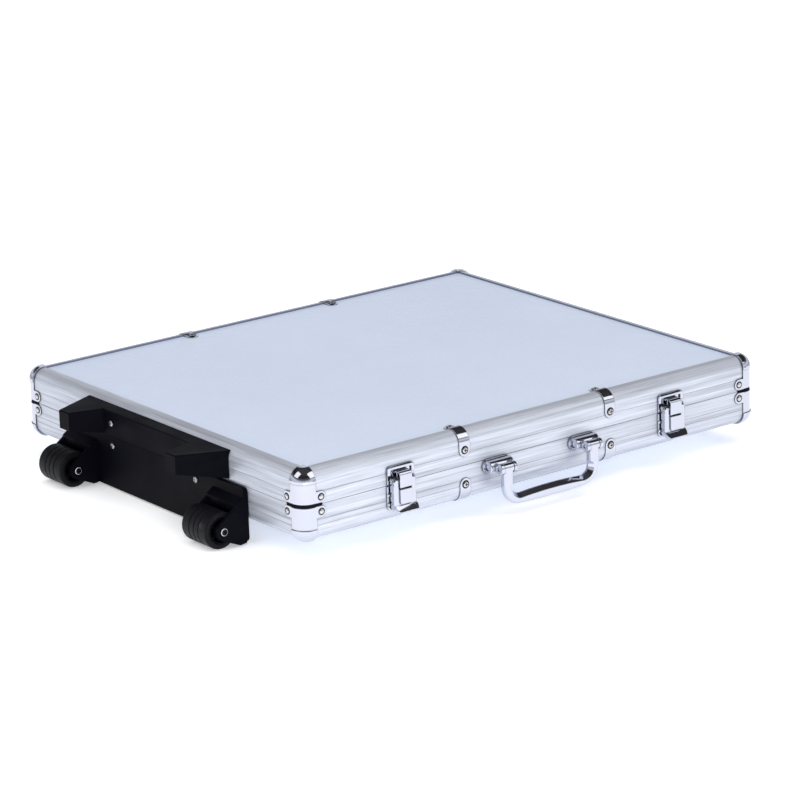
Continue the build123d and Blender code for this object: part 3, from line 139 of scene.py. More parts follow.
class Brush(Graph):
    """A material's tree, with the means by which a finish adds detail to its shader."""

    def __init__(self, tree: Tree, shader: bpy.types.Node) -> None:
        """Takes the tree and its surface shader."""
        super().__init__(tree)
        self.shader = shader

    def feed(self, value: Socket, label: str) -> None:
        """Links a value to one of the shader's inputs."""
        self.tree.links.new(value, self.shader.inputs[label])

    def fix(self, label: str, value: float | Colour) -> None:
        """Sets a constant on one of the shader's inputs."""
        self.shader.inputs[label].default_value = value

    def place(self, stretch: Sequence[float] = (1.0, 1.0, 1.0)) -> Socket:
        """Returns the position on the object, scaled along each axis."""
        where = self.node("ShaderNodeTexCoord").outputs["Object"]
        return self.out("ShaderNodeMapping", {"Vector": where, "Scale": stretch})

    def noise(self, where: Socket, grain_mm: float, detail: float = 2.0) -> Socket:
        """Returns noise from 0 to 1 with grains about grain_mm wide."""
        inputs = {"Vector": where, "Scale": 1 / (grain_mm * MM), "Detail": detail}
        return self.out("ShaderNodeTexNoise", inputs)

    def spread(self, value: Socket, low: float, high: float) -> Socket:
        """Maps the middle of a noise value to the range from low to high."""
        inputs = {"Value": value, "From Min": 0.3, "From Max": 0.7, "To Min": low, "To Max": high}
        return self.out("ShaderNodeMapRange", inputs)

    def blend(self, factor: Socket, first: str, second: str) -> Socket:
        """Returns a colour between two hex colours."""
        ramp = self.node("ShaderNodeValToRGB", {"Fac": factor})
        ramp.color_ramp.elements[0].color = linear(first)
        ramp.color_ramp.elements[1].color = linear(second)
        return ramp.outputs[0]

    def tint(self, factor: Socket, first: str, second: str) -> None:
        """Colours the surface between two hex colours."""
        self.feed(self.blend(factor, first, second), "Base Color")

    def gloss(self, value: Socket, low: float, high: float) -> None:
        """Lets a noise value take the roughness from low to high."""
        self.feed(self.spread(value, low, high), "Roughness")

    def paint_crevice_shade(self, colour: Socket | Colour, reach_mm: float, dark: str) -> None:
        """Colours the surface with painted shade, darker in the narrow places where pieces meet.

        Args:
            colour: Colour of the open surface.
            reach_mm: How near the other surface has to be.
            dark: Colour of the painted shade deep in the corner.
        """
        inputs = {"Distance": reach_mm * MM}
        # Ambient occlusion finds the narrow places; the painted shade is darkest there.
        open_sky = self.node("ShaderNodeAmbientOcclusion", inputs, samples=6).outputs["AO"]
        unshaded = self.out("ShaderNodeMapRange", {"Value": open_sky, "From Min": 0.4, "From Max": 0.93})
        mix = self.node("ShaderNodeMix", {"Factor": unshaded}, data_type="RGBA")
        first, second = [socket for socket in mix.inputs if socket.type == "RGBA"]
        first.default_value = linear(dark)
        if isinstance(colour, bpy.types.NodeSocket):
            self.tree.links.new(colour, second)
        else:
            second.default_value = colour
        self.feed(next(socket for socket in mix.outputs if socket.type == "RGBA"), "Base Color")

    def emboss(self, height: Socket, depth_mm: float, over: Socket | None = None) -> None:
        """Raises the surface by a height from 0 to 1, over another normal if one is given."""
        inputs = {"Height": height, "Distance": depth_mm * MM}
        if over:
            inputs["Normal"] = over
        self.feed(self.out("ShaderNodeBump", inputs), "Normal")


@dataclass(frozen=True)
class Finish:
    """A surface: what it is made of and how it was made."""

    name: str
    base: str
    metallic: float = 0.0
    roughness: float = 0.5

    def material(self) -> bpy.types.Material:
        """Returns the finish's material, made once."""
        return bpy.data.materials.get(self.name) or self._make()

    def _make(self) -> bpy.types.Material:
        """Builds the material's shader and adds the finish's own detail."""
        material = bpy.data.materials.new(self.name)
        material.use_nodes = True
        tree = material.node_tree
        tree.nodes.clear()
        surface = {"Base Color": linear(self.base), "Metallic": self.metallic, "Roughness": self.roughness}
        shader = add_node(tree, "ShaderNodeBsdfPrincipled", surface)
        add_node(tree, "ShaderNodeOutputMaterial", {"Surface": shader.outputs[0]})
        self.detail(Brush(tree, shader))
        return material

    def detail(self, brush: Brush) -> None:
        """Adds the pattern of this finish; a plain finish has none."""


@dataclass(frozen=True)
class SatinExtrusion(Finish):
    """Aluminium pushed through a die, then satin anodised: soft streaks and bands along the rail."""

    way: Way = Way.ALONG_X
    line_mm: float = 0.9
    band_mm: float = 4.5

    def detail(self, brush: Brush) -> None:
        """Streaks the colour, the gloss and the surface along the rail, and paints shade where pieces meet."""
        along = brush.place(self.way.value)
        streak = brush.noise(along, self.line_mm, detail=4.0)
        band = brush.noise(along, self.band_mm, detail=1.0)
        cloud = brush.noise(brush.place(), grain_mm=60.0)
        tone = brush.calc(brush.calc(streak, band), 0.5, "MULTIPLY")
        colour = brush.blend(brush.spread(tone, 0.0, 1.0), "#a2a6b1", self.base)
        # Painted shade: the rail darkens to #4c4d52 where another piece comes within 2.2 mm.
        brush.paint_crevice_shade(colour, reach_mm=2.2, dark="#4c4d52")
        patchy = brush.calc(streak, cloud, "MULTIPLY")
        brush.gloss(patchy, self.roughness + 0.06, self.roughness - 0.05)
        brush.emboss(streak, depth_mm=0.012)


@dataclass(frozen=True)
class RolledSheet(Finish):
    """Pearl-lacquered aluminium sheet, rolled: pale blue, matt, with a faint grain along its ribs."""

    grain_mm: float = 0.7

    def detail(self, brush: Brush) -> None:
        """Adds the rolling grain and a barely seen drift in colour."""
        grain = brush.noise(brush.place(Way.ALONG_X.value), self.grain_mm, detail=3.0)
        brush.tint(brush.noise(brush.place(), grain_mm=140.0), "#d7e2f6", self.base)
        brush.gloss(grain, self.roughness - 0.04, self.roughness + 0.05)
        brush.emboss(grain, depth_mm=0.01)


@dataclass(frozen=True)
class BrightPlating(Finish):
    """Chrome over pressed or cast metal: a mirror that ripples a little, with faint wiping haze."""

    ripple_mm: float = 9.0
    turn_mm: float = 0.7

    def detail(self, brush: Brush) -> None:
        """Adds the ripple of the metal beneath, the haze, edges rolled round in polishing, and painted shade
        where pieces meet.
        """
        where = brush.place()
        rolled = brush.out("ShaderNodeBevel", {"Radius": self.turn_mm * MM}, samples=6)
        # Painted shade: the chrome darkens to #16151a where another piece comes within 1.8 mm.
        brush.paint_crevice_shade(linear(self.base), reach_mm=1.8, dark="#16151a")
        haze = brush.noise(where, grain_mm=14.0, detail=4.0)
        brush.gloss(haze, self.roughness * 0.7, self.roughness * 1.8)
        brush.emboss(brush.noise(where, self.ripple_mm), depth_mm=0.03, over=rolled)


@dataclass(frozen=True)
class CoatedSteel(Finish):
    """Steel that is zinc-plated or blackened in hot salts: its coat mottles the colour and the gloss."""

    mottle: str = "#9a9ea6"
    grain_mm: float = 2.5

    def detail(self, brush: Brush) -> None:
        """Mottles the colour and the gloss."""
        patches = brush.noise(brush.place(), self.grain_mm, detail=3.0)
        brush.tint(patches, self.mottle, self.base)
        brush.gloss(patches, self.roughness - 0.08, self.roughness + 0.08)


@dataclass(frozen=True)
class DrawnTube(Finish):
    """Drawn or turned aluminium: fine bright lines that the tool left along X."""

    def detail(self, brush: Brush) -> None:
        """Draws the tool's lines."""
        lines = brush.noise(brush.place(Way.ALONG_X.value), grain_mm=0.35, detail=3.0)
        brush.gloss(lines, 0.22, 0.4)
        brush.emboss(lines, depth_mm=0.008)


@dataclass(frozen=True)
class MouldedPlastic(Finish):
    """Plastic or rubber moulded against an eroded steel face: even, dull, with a fine pebble."""

    grain_mm: float = 0.8
    depth_mm: float = 0.03

    def detail(self, brush: Brush) -> None:
        """Adds the pebble and a slight flow mottle in the gloss."""
        brush.fix("Specular IOR Level", 0.035)
        where = brush.place()
        flow = brush.noise(where, grain_mm=35.0, detail=3.0)
        brush.gloss(flow, self.roughness - 0.05, self.roughness + 0.06)
        brush.emboss(brush.noise(where, self.grain_mm, detail=1.0), self.depth_mm)


@dataclass(frozen=True)
class WheelRubber(Finish):
    """Cast polyurethane tyre: black with a low satin shine and dull rolling marks."""

    def detail(self, brush: Brush) -> None:
        """Dulls the tread in patches."""
        brush.fix("Specular IOR Level", 0.12)
        scuff = brush.noise(brush.place(), grain_mm=5.0, detail=5.0)
        brush.tint(scuff, self.base, "#15151a")
        brush.gloss(scuff, 0.34, 0.52)
        brush.emboss(scuff, depth_mm=0.03)


@dataclass(frozen=True)
class FlockedTray(Finish):
    """Formed tray with short flock blown on it: black, soft, with a velvet edge glow."""

    def detail(self, brush: Brush) -> None:
        """Adds the nap and the sheen."""
        brush.fix("Sheen Weight", 0.6)
        brush.fix("Sheen Roughness", 0.4)
        nap = brush.noise(brush.place(), grain_mm=0.9, detail=4.0)
        brush.tint(nap, self.base, "#232328")
        brush.emboss(nap, depth_mm=0.12)


@dataclass(frozen=True)
class OpenCellFoam(Finish):
    """Charcoal polyether foam: matt, full of pores about a millimetre wide."""

    pore_mm: float = 1.6

    def detail(self, brush: Brush) -> None:
        """Opens the pores in depth and paints shade into them."""
        inputs = {"Vector": brush.place(), "Scale": 1 / (self.pore_mm * MM)}
        pores = brush.node("ShaderNodeTexVoronoi", inputs).outputs["Distance"]
        # Painted shade: the pores are coloured darker towards their hollow middles.
        brush.tint(pores, "#0e0e10", self.base)
        brush.emboss(pores, depth_mm=0.5)


@dataclass(frozen=True)
class LitPaper(Finish):
    """White paper lit from below: the glow through it takes the weight out of the shadow."""

    glow: float = 0.3

    def detail(self, brush: Brush) -> None:
        """Lets the light through."""
        brush.fix("Emission Color", linear("#ffffff"))
        brush.fix("Emission Strength", self.glow)


@dataclass(frozen=True)
class Fibreboard(Finish):
    """Pressed wood fibre: brown, matt, with flecks."""

    def detail(self, brush: Brush) -> None:
        """Flecks the colour."""
        brush.tint(brush.noise(brush.place(), grain_mm=1.5, detail=5.0), "#6b543a", self.base)


RAIL_X = SatinExtrusion("anodised_extrusion_along_x", "#d8dde9", 0.5, 0.34, Way.ALONG_X)
RAIL_Y = SatinExtrusion("anodised_extrusion_along_y", "#d8dde9", 0.5, 0.34, Way.ALONG_Y)
SHEET = RolledSheet("pearl_rolled_sheet", "#e0ebfe", 0.35, 0.42)
CHROME = BrightPlating("chrome_plating", "#c6c9d6", 1.0, 0.05)
NICKEL = BrightPlating("nickel_plating", "#c9c8c6", 1.0, 0.13, ripple_mm=4.0, turn_mm=0.5)
OXIDE = CoatedSteel("black_oxide_steel", "#2c2c31", 1.0, 0.28, mottle="#1b1b1f", grain_mm=1.8)
ZINC = CoatedSteel("zinc_plating", "#c9ccd1", 1.0, 0.34)
TUBE = DrawnTube("drawn_aluminium_tube", "#cfd2d6", 1.0, 0.3)
TURNED = DrawnTube("turned_aluminium_ring", "#f2f4f8", 0.2, 0.3)
NYLON = MouldedPlastic("moulded_black_nylon", "#08080f", 0.0, 0.46)
HUB = MouldedPlastic("moulded_black_hub", "#08080c", 0.0, 0.36, grain_mm=1.2, depth_mm=0.015)
BUTTON = MouldedPlastic("moulded_gloss_button", "#3a3c42", 0.0, 0.22, grain_mm=2.0, depth_mm=0.004)
FOOT = MouldedPlastic("moulded_rubber_foot", "#141416", 0.0, 0.72, grain_mm=1.0, depth_mm=0.05)
# Painted shade: a near-black strip in the gap between the lid's and the base's corner covers.
GAP_SHADE = MouldedPlastic("painted_gap_shade", "#101117", 0.0, 0.6, grain_mm=1.0, depth_mm=0.02)
# Painted shade: a grey strip along the inner edge of the rails, over the panels' edges.
PANEL_EDGE_SHADE = MouldedPlastic("painted_panel_edge_shade", "#6b7084", 0.0, 0.6, grain_mm=1.0, depth_mm=0.02)
TYRE = WheelRubber("cast_polyurethane_tyre", "#07070a", 0.0, 0.42)
FLOCK = FlockedTray("flocked_tray", "#0b0b0d", 0.0, 0.9)
FOAM = OpenCellFoam("open_cell_foam", "#3b3c41", 0.0, 0.95)
BOARD = Fibreboard("fibreboard", "#8d7452", 0.0, 0.8)
PAPER = LitPaper("backlit_white_paper", "#f4f5f7", 0.0, 0.9)


def put(name: str, data: bpy.types.ID) -> bpy.types.Object:
    """Puts a mesh, a lamp or a camera in the scene as an object at the origin."""
    piece = bpy.data.objects.new(name, data)
    bpy.context.scene.collection.objects.link(piece)
    return piece


def merged_mesh(node: str) -> bmesh.types.BMesh:
    """Returns a copy of a node's mesh with its loose triangles merged."""
    copy = bmesh.new()
    copy.from_mesh(NODES[node].data)
    bmesh.ops.remove_doubles(copy, verts=copy.verts, dist=MERGE_DISTANCE)
    return copy


def swept(rings: Sequence[Sequence[Sequence[float]]], closed: bool = False) -> tuple[list, list]:
    """Joins equal rings of points into a skin.

    Args:
        rings: Rings of points, one behind the other.
        closed: Whether the last ring meets the first one; if not, a face shuts each end.

    Returns:
        The skin's points and its faces.
    """
    verts = [tuple(point) for ring in rings for point in ring]
    size, total = len(rings[0]), len(verts)
    faces = []
    for start in range(0, total if closed else total - size, size):
        for side in range(size):
            a, b = start + side, start + (side + 1) % size
            faces.append((a, b, (b + size) % total, (a + size) % total))
    if not closed:
        faces += [tuple(range(size)), tuple(range(total - size, total))]
    return verts, faces


def skin_mesh(name: str, skins: Sequence[tuple[list, list]]) -> bpy.types.Mesh:
    """Makes one mesh of closed skins, with every face turned outwards."""
    verts, faces = [], []
    for points, sides in skins:
        start = len(verts)
        verts += points
        faces += [tuple(start + corner for corner in side) for side in sides]
    mesh = bpy.data.meshes.new(name)
    mesh.from_pydata(verts, [], faces)
    whole = bmesh.new()
    whole.from_mesh(mesh)
    bmesh.ops.recalc_face_normals(whole, faces=whole.faces)
    whole.to_mesh(mesh)
    whole.free()
    return mesh


def soften(mesh: bpy.types.Mesh, angle: float = SMOOTH_ANGLE) -> None:
    """Shades a mesh smooth except over edges sharper than an angle in degrees."""
    mesh.shade_smooth()
    mesh.set_sharp_from_angle(angle=math.radians(angle))


def applied(piece: bpy.types.Object) -> bpy.types.Mesh:
    """Returns a piece's mesh with its modifiers worked in, and removes the piece."""
    graph = bpy.context.evaluated_depsgraph_get()
    mesh = bpy.data.meshes.new_from_object(piece.evaluated_get(graph))
    mesh.name = piece.name
    bpy.data.objects.remove(piece)
    return mesh


def settle(piece: bpy.types.Object, body: str, replaced: Sequence[str] = ()) -> None:
    """Hangs a finished piece on its body and hides the nodes that it stands for.

    Args:
        piece: Object whose place is in its mesh.
        body: Body that it moves with.
        replaced: Nodes that it stands for.
    """
    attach(piece, body)
    if replaced:
        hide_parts(*replaced)
    LOG.info("%s rides on %s, %d faces", piece.name, body, len(piece.data.polygons))


def hang(name: str, skins: Sequence[tuple[list, list]], finish: Finish, body: str) -> None:
    """Makes a piece of closed skins and hangs it on a body."""
    mesh = skin_mesh(name, skins)
    soften(mesh)
    mesh.materials.append(finish.material())
    settle(put(name, mesh), body)


def dress(node: str, finish: Finish) -> None:
    """Gives a carried-over node its finish."""
    piece = NODES[node]
    if not piece.material_slots:
        piece.data.materials.append(None)
    for slot in piece.material_slots:
        slot.material = finish.material()


def refine(
    node: str,
    finish: Finish,
    edge_mm: float,
    segments: int = 2,
    reshape: Callable[[bmesh.types.BMesh], None] | None = None,
    cutter: bpy.types.Object | None = None,
    sharp: float = SMOOTH_ANGLE,
) -> None:
    """Stands a copy of a node in its place, with its sharp edges eased.

    Args:
        node: Node to copy.
        finish: Its surface.
        edge_mm: Width of the eased edge.
        segments: Steps across it.
        reshape: Moves the copy's points first.
        cutter: Closed shape taken away from the copy.
        sharp: Angle in degrees from which an edge stays sharp to the eye.
    """
    copy = merged_mesh(node)
    if reshape:
        reshape(copy)
    bmesh.ops.dissolve_limit(copy, angle_limit=math.radians(LEVEL_ANGLE), verts=copy.verts, edges=copy.edges)
    mesh = bpy.data.meshes.new(node + "_piece")
    copy.to_mesh(mesh)
    copy.free()
    piece = put(node + "_piece", mesh)
    if cutter:
        cut = piece.modifiers.new("cut", "BOOLEAN")
        cut.operation = "DIFFERENCE"
        cut.solver = "EXACT"
        cut.object = cutter
    bevel = piece.modifiers.new("ease", "BEVEL")
    bevel.width = edge_mm * MM
    bevel.segments = segments
    bevel.limit_method = "ANGLE"
    bevel.angle_limit = math.radians(EASE_ANGLE)
    bevel.use_clamp_overlap = True
    bevel.harden_normals = True
    soften(mesh, sharp)
    piece = put(node + "_piece", applied(piece))
    if cutter:
        bpy.data.objects.remove(cutter)
    piece.data.materials.clear()
    piece.data.materials.append(finish.material())
    settle(piece, BODY_OF[node], [node])


@dataclass
class Seat:
    """Where one fastener sits: the top of its head and the way that it faces."""

    top: Vector
    way: Vector


def fastener_seats(node: str) -> list[Seat]:
    """Finds each fastener of a node.

    A fastener is round about its axis, so its points crowd towards its head only along that axis.

    Args:
        node: Node that holds loose fasteners.

    Returns:
        One seat for each.
    """
    copy = merged_mesh(node)
    left = set(copy.verts)
    seats = []
    while left:
        group, edge = [], [left.pop()]
        while edge:
            vert = edge.pop()
            group.append(vert.co.copy())
            near = {e.other_vert(vert) for e in vert.link_edges} & left
            left -= near
            edge.extend(near)
        points = np.array(group)
        low, high = points.min(0), points.max(0)
        lean = points.mean(0) - (low + high) / 2
        axis = int(np.argmax(abs(lean)))
        way = Vector([math.copysign(1.0, lean[axis]) if i == axis else 0.0 for i in range(3)])
        top = Vector((low + high) / 2)
        top[axis] = high[axis] if way[axis] > 0 else low[axis]
        seats.append(Seat(top, way))
    copy.free()
    return seats


class Recipe(Graph):
    """A Geometry Nodes tree with named inputs, worked out into a plain mesh."""

    def __init__(self, name: str, sizes: Sequence[str]) -> None:
        """Makes the tree's inputs.

        Args:
            name: Name of the tree.
            sizes: Labels of its lengths, in metres.
        """
        super().__init__(bpy.data.node_groups.new(name, "GeometryNodeTree"))
        face = self.tree.interface
        face.new_socket(name="Geometry", in_out="INPUT", socket_type="NodeSocketGeometry")
        face.new_socket(name="Geometry", in_out="OUTPUT", socket_type="NodeSocketGeometry")
        kinds = {label: "NodeSocketFloat" for label in sizes}
        kinds |= {label: "NodeSocketMaterial" for label in ("Finish", "Trim finish")}
        self.keys = {
            label: face.new_socket(name=label, in_out="INPUT", socket_type=kind).identifier
            for label, kind in kinds.items()
        }
        self.start = self.node("NodeGroupInput")

    def size(self, label: str) -> Socket:
        """Returns a named input's value."""
        return self.start.outputs[label]

    def place(self) -> list[Socket]:
        """Returns the x, y and z of each point."""
        return list(self.node("ShaderNodeSeparateXYZ", {0: self.out("GeometryNodeInputPosition")}).outputs)

    def vector(self, x: Socket | float = 0.0, y: Socket | float = 0.0, z: Socket | float = 0.0) -> Socket:
        """Returns a vector of three values."""
        return self.out("ShaderNodeCombineXYZ", {0: x, 1: y, 2: z})

    def grid(self, width: str, columns: int, rows: int) -> Socket:
        """Returns a level grid as long as the input "Length" and as wide as another one."""
        sides = {"Size X": self.size("Length"), "Size Y": self.size(width)}
        return self.out("GeometryNodeMeshGrid", {**sides, "Vertices X": columns, "Vertices Y": rows})

    def lift(self, geometry: Socket, rise: Socket) -> Socket:
        """Returns geometry with its points raised."""
        return self.out("GeometryNodeSetPosition", {"Geometry": geometry, "Offset": self.vector(z=rise)})

    def scatter(self, part: Socket, **inputs: Socket) -> Socket:
        """Returns a copy of a part on each point that comes in."""
        inputs = {"Points": self.size("Geometry"), "Instance": part, **inputs}
        return self.out("GeometryNodeInstanceOnPoints", inputs)

    def join(self, first: Socket, second: Socket) -> Socket:
        """Returns two geometries as one."""
        both = self.node("GeometryNodeJoinGeometry", {"Geometry": first})
        self.tree.links.new(second, both.inputs["Geometry"])
        return both.outputs[0]

    def finished(self, geometry: Socket, label: str) -> Socket:
        """Returns instances made real, with a named input's finish."""
        real = self.out("GeometryNodeRealizeInstances", {"Geometry": geometry})
        return self.out("GeometryNodeSetMaterial", {"Geometry": real, "Material": self.size(label)})

    def close(self, geometry: Socket, trim: Socket | None = None) -> None:
        """Ends the tree in real geometry that has its finish, and its trim's."""
        done = self.finished(geometry, "Finish")
        if trim:
            done = self.join(done, self.finished(trim, "Trim finish"))
        self.node("NodeGroupOutput", {"Geometry": done})

    def grow(
        self,
        name: str,
        carrier: bpy.types.Mesh,
        sizes: dict[str, float],
        finish: Finish,
        trim: Finish | None = None,
    ) -> bpy.types.Object:
        """Works the tree out on a carrier mesh.

        Args:
            name: Name of the piece.
            carrier: Mesh that feeds the tree.
            sizes: Value of each named length.
            finish: Surface of the piece.
            trim: Surface of its trim, or none for the same.

        Returns:
            A plain mesh object.
        """
        piece = put(name, carrier)
        modifier = piece.modifiers.new("recipe", "NODES")
        modifier.node_group = self.tree
        surfaces = {"Finish": finish.material(), "Trim finish": (trim or finish).material()}
        for label, value in {**sizes, **surfaces}.items():
            modifier[self.keys[label]] = value
        grown = put(name, applied(piece))
        soften(grown.data)
        return grown


class FastenerRecipe(Recipe):
    """Fastener heads with a rolled rim, set on points and turned to the way stored there."""

    crown = 1.35
    rim_out = 1.16
    rim_thick = 0.17
    bar_long = 1.15
    bar_wide = 0.32
    around = 28
    rings = 16
    rim_around = 10

    def __init__(self, head: Head) -> None:
        """Builds the tree for one kind of head."""
        super().__init__(f"{head.value}_fasteners", ["Head radius", "Head height", "Recess depth"])
        radius, height = self.size("Head radius"), self.size("Head height")
        ball = self.out("GeometryNodeMeshUVSphere", {"Segments": self.around, "Rings": self.rings})
        tall = height if head is Head.DOME else self.calc(height, self.crown, "MULTIPLY")
        body = self.out("GeometryNodeTransform", {"Geometry": ball, "Scale": self.vector(radius, radius, tall)})
        x, y, z = self.place()
        flat = self.calc(self.calc(z, height, "MINIMUM"), 0.0, "MAXIMUM")
        shape = self.out("GeometryNodeSetPosition", {"Geometry": body, "Position": self.vector(x, y, flat)})
        if head is Head.CROSS:
            shape = self.cut_cross(shape, radius, height)
        way = self.out("GeometryNodeInputNamedAttribute", {"Name": "way"}, data_type="FLOAT_VECTOR")
        turn = self.out("FunctionNodeAlignRotationToVector", {"Vector": way}, axis="Z")
        self.close(self.scatter(shape, Rotation=turn), self.scatter(self.collar(radius), Rotation=turn))

    def circle(self, resolution: int, radius: Socket, share: float) -> Socket:
        """Returns a circle whose radius is a share of the head's."""
        inputs = {"Resolution": resolution, "Radius": self.calc(radius, share, "MULTIPLY")}
        return self.out("GeometryNodeCurvePrimitiveCircle", inputs)

    def collar(self, radius: Socket) -> Socket:
        """Returns the rolled rim that the head presses up round itself."""
        path = self.circle(self.around, radius, self.rim_out)
        profile = self.circle(self.rim_around, radius, self.rim_thick)
        return self.out("GeometryNodeCurveToMesh", {"Curve": path, "Profile Curve": profile})

    def cut_cross(self, shape: Socket, radius: Socket, height: Socket) -> Socket:
        """Cuts the driver's cross into a head.

        Args:
            shape: Head standing on the ground plane.
            radius: Its radius.
            height: Its height.

        Returns:
            The head with its recess.
        """
        long, short = [self.calc(radius, share, "MULTIPLY") for share in (self.bar_long, self.bar_wide)]
        deep = self.calc(self.size("Recess depth"), 2.0, "MULTIPLY")
        bars = [
            self.out("GeometryNodeMeshCube", {"Size": self.vector(across, along, deep)})
            for across, along in ((long, short), (short, long))
        ]
        cross = self.node("GeometryNodeMeshBoolean", {"Mesh 2": bars[0]}, operation="UNION")
        self.tree.links.new(bars[1], cross.inputs["Mesh 2"])
        inputs = {"Geometry": cross.outputs[0], "Translation": self.vector(z=height)}
        inputs = {"Mesh 1": shape, "Mesh 2": self.out("GeometryNodeTransform", inputs)}
        return self.out("GeometryNodeMeshBoolean", inputs, operation="DIFFERENCE")


class RibRecipe(Recipe):
    """Low round ribs side by side on each point, along X."""

    def __init__(self) -> None:
        """Builds the tree of one rib set on every point."""
        super().__init__("sheet_ribs", ["Length", "Rib width", "Rib height"])
        strip = self.grid("Rib width", columns=2, rows=7)
        half = self.calc(self.size("Rib width"), 0.5, "MULTIPLY")
        share = self.calc(self.place()[1], half, "DIVIDE")
        crown = self.calc(1.0, self.calc(share, share, "MULTIPLY"), "SUBTRACT")
        rise = self.calc(crown, self.size("Rib height"), "MULTIPLY")
        self.close(self.scatter(self.lift(strip, rise)))


class EggCrateRecipe(Recipe):
    """Foam block whose lower face waves in soft peaks."""

    def __init__(self) -> None:
        """Builds the waved grid and thickens it up to a flat top."""
        super().__init__("egg_crate_foam", ["Length", "Width", "Peak pitch", "Peak height", "Height"])
        tall = self.size("Height")
        x, y, _ = self.place()
        turn = self.calc(2 * math.pi, self.size("Peak pitch"), "DIVIDE")
        waves = [self.calc(self.calc(across, turn, "MULTIPLY"), 0.0, "SINE") for across in (x, y)]
        wave = self.calc(self.calc(*waves, "MULTIPLY"), 1.0)
        rise = self.calc(self.calc(wave, 0.5, "MULTIPLY"), self.size("Peak height"), "MULTIPLY")
        waved = self.lift(self.grid("Width", columns=160, rows=134), rise)
        inputs = {"Mesh": waved, "Offset": self.vector(z=1.0), "Offset Scale": tall, "Individual": False}
        grown = self.node("GeometryNodeExtrudeMesh", inputs)
        inputs = {"Geometry": grown.outputs["Mesh"], "Selection": grown.outputs["Top"]}
        topped = self.out("GeometryNodeSetPosition", {**inputs, "Position": self.vector(x, y, tall)})
        self.close(self.join(topped, self.out("GeometryNodeFlipFaces", {"Mesh": waved})))


def outline(half: str) -> tuple[float, float, float, float]:
    """Returns the x and y limits of the outer faces of one half's rails."""
    sides = [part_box(f"{half}_rail_{side}") for side in ("left", "right", "front", "back")]
    return sides[0][0].x, sides[1][1].x, sides[2][0].y, sides[3][1].y


def opening(half: str, inset: float) -> tuple[float, float, float, float]:
    """Returns the x and y limits of the opening between one half's rails, drawn in by an inset."""
    sides = [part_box(f"{half}_rail_{side}") for side in ("left", "right", "front", "back")]
    return sides[0][1].x + inset, sides[1][0].x - inset, sides[2][1].y + inset, sides[3][0].y - inset


def points_mesh(name: str, places: Sequence[Vector], ways: Sequence[Vector] = ()) -> bpy.types.Mesh:
    """Makes a mesh of single points, with the way stored on each.

    Args:
        name: Name of the mesh.
        places: Where the points are.
        ways: Directions stored on them.

    Returns:
        The mesh.
    """
    mesh = bpy.data.meshes.new(name)
    mesh.from_pydata([tuple(p) for p in places], [], [])
    if ways:
        attribute = mesh.attributes.new("way", "FLOAT_VECTOR", "POINT")
        attribute.data.foreach_set("vector", [c for way in ways for c in way])
    return mesh


@dataclass(frozen=True)
class HeadKind:
    """Nodes whose fasteners share one kind of head, with its sizes and surfaces."""

    nodes: tuple[str, ...]
    head: Head
    radius_mm: float
    height_mm: float
    finish: Finish
    # Black oxide on the rim is painted shade: a dark ring round the head.
    rim: Finish


@dataclass
class Fasteners:
    """Rivets and screws of the case, all made from the same two trees."""

    kinds: tuple[HeadKind, ...] = (
        # Where the rim finish is black oxide, it is painted shade round the head.
        HeadKind(("base_rivets", "lid_rivets"), Head.DOME, 2.7, 1.3, NICKEL, OXIDE),
        HeadKind(("latch_plate_rivets", "latch_catch_rivets"), Head.DOME, 1.7, 0.9, NICKEL, NICKEL),
        HeadKind(("base_band_screws", "lid_band_screws"), Head.CROSS, 3.1, 1.5, NICKEL, OXIDE),
        HeadKind(("trolley_screws", "bumper_screws"), Head.CROSS, 3.1, 1.5, ZINC, OXIDE),
    )
    recess_mm: float = 0.9

    def build(self) -> None:
        """Sets every fastener head."""
        recipes = {head: FastenerRecipe(head) for head in Head}
        for kind in self.kinds:
            for node in kind.nodes:
                self.set_heads(recipes[kind.head], node, kind)

    def set_heads(self, recipe: Recipe, node: str, kind: HeadKind) -> None:
        """Stands smooth heads in the place of a node's fasteners."""
        seats = fastener_seats(node)
        places = [seat.top - seat.way * kind.height_mm * MM for seat in seats]
        carrier = points_mesh(node + "_heads", places, [seat.way for seat in seats])
        values = (kind.radius_mm, kind.height_mm, self.recess_mm)
        sizes = {label: value * MM for label, value in zip(recipe.keys, values)}
        piece = recipe.grow(node + "_heads", carrier, sizes, kind.finish, kind.rim)
        settle(piece, BODY_OF[node], [node])


@dataclass
class RailFrames:
    """Extruded rails of both halves."""

    edge_mm: float = 0.25

    def build(self) -> None:
        """Eases the rails' edges and streaks them along their length."""
        for half in ("base", "lid"):
            for side, finish in (("front", RAIL_X), ("back", RAIL_X), ("left", RAIL_Y), ("right", RAIL_Y)):
                refine(f"{half}_rail_{side}", finish, self.edge_mm)


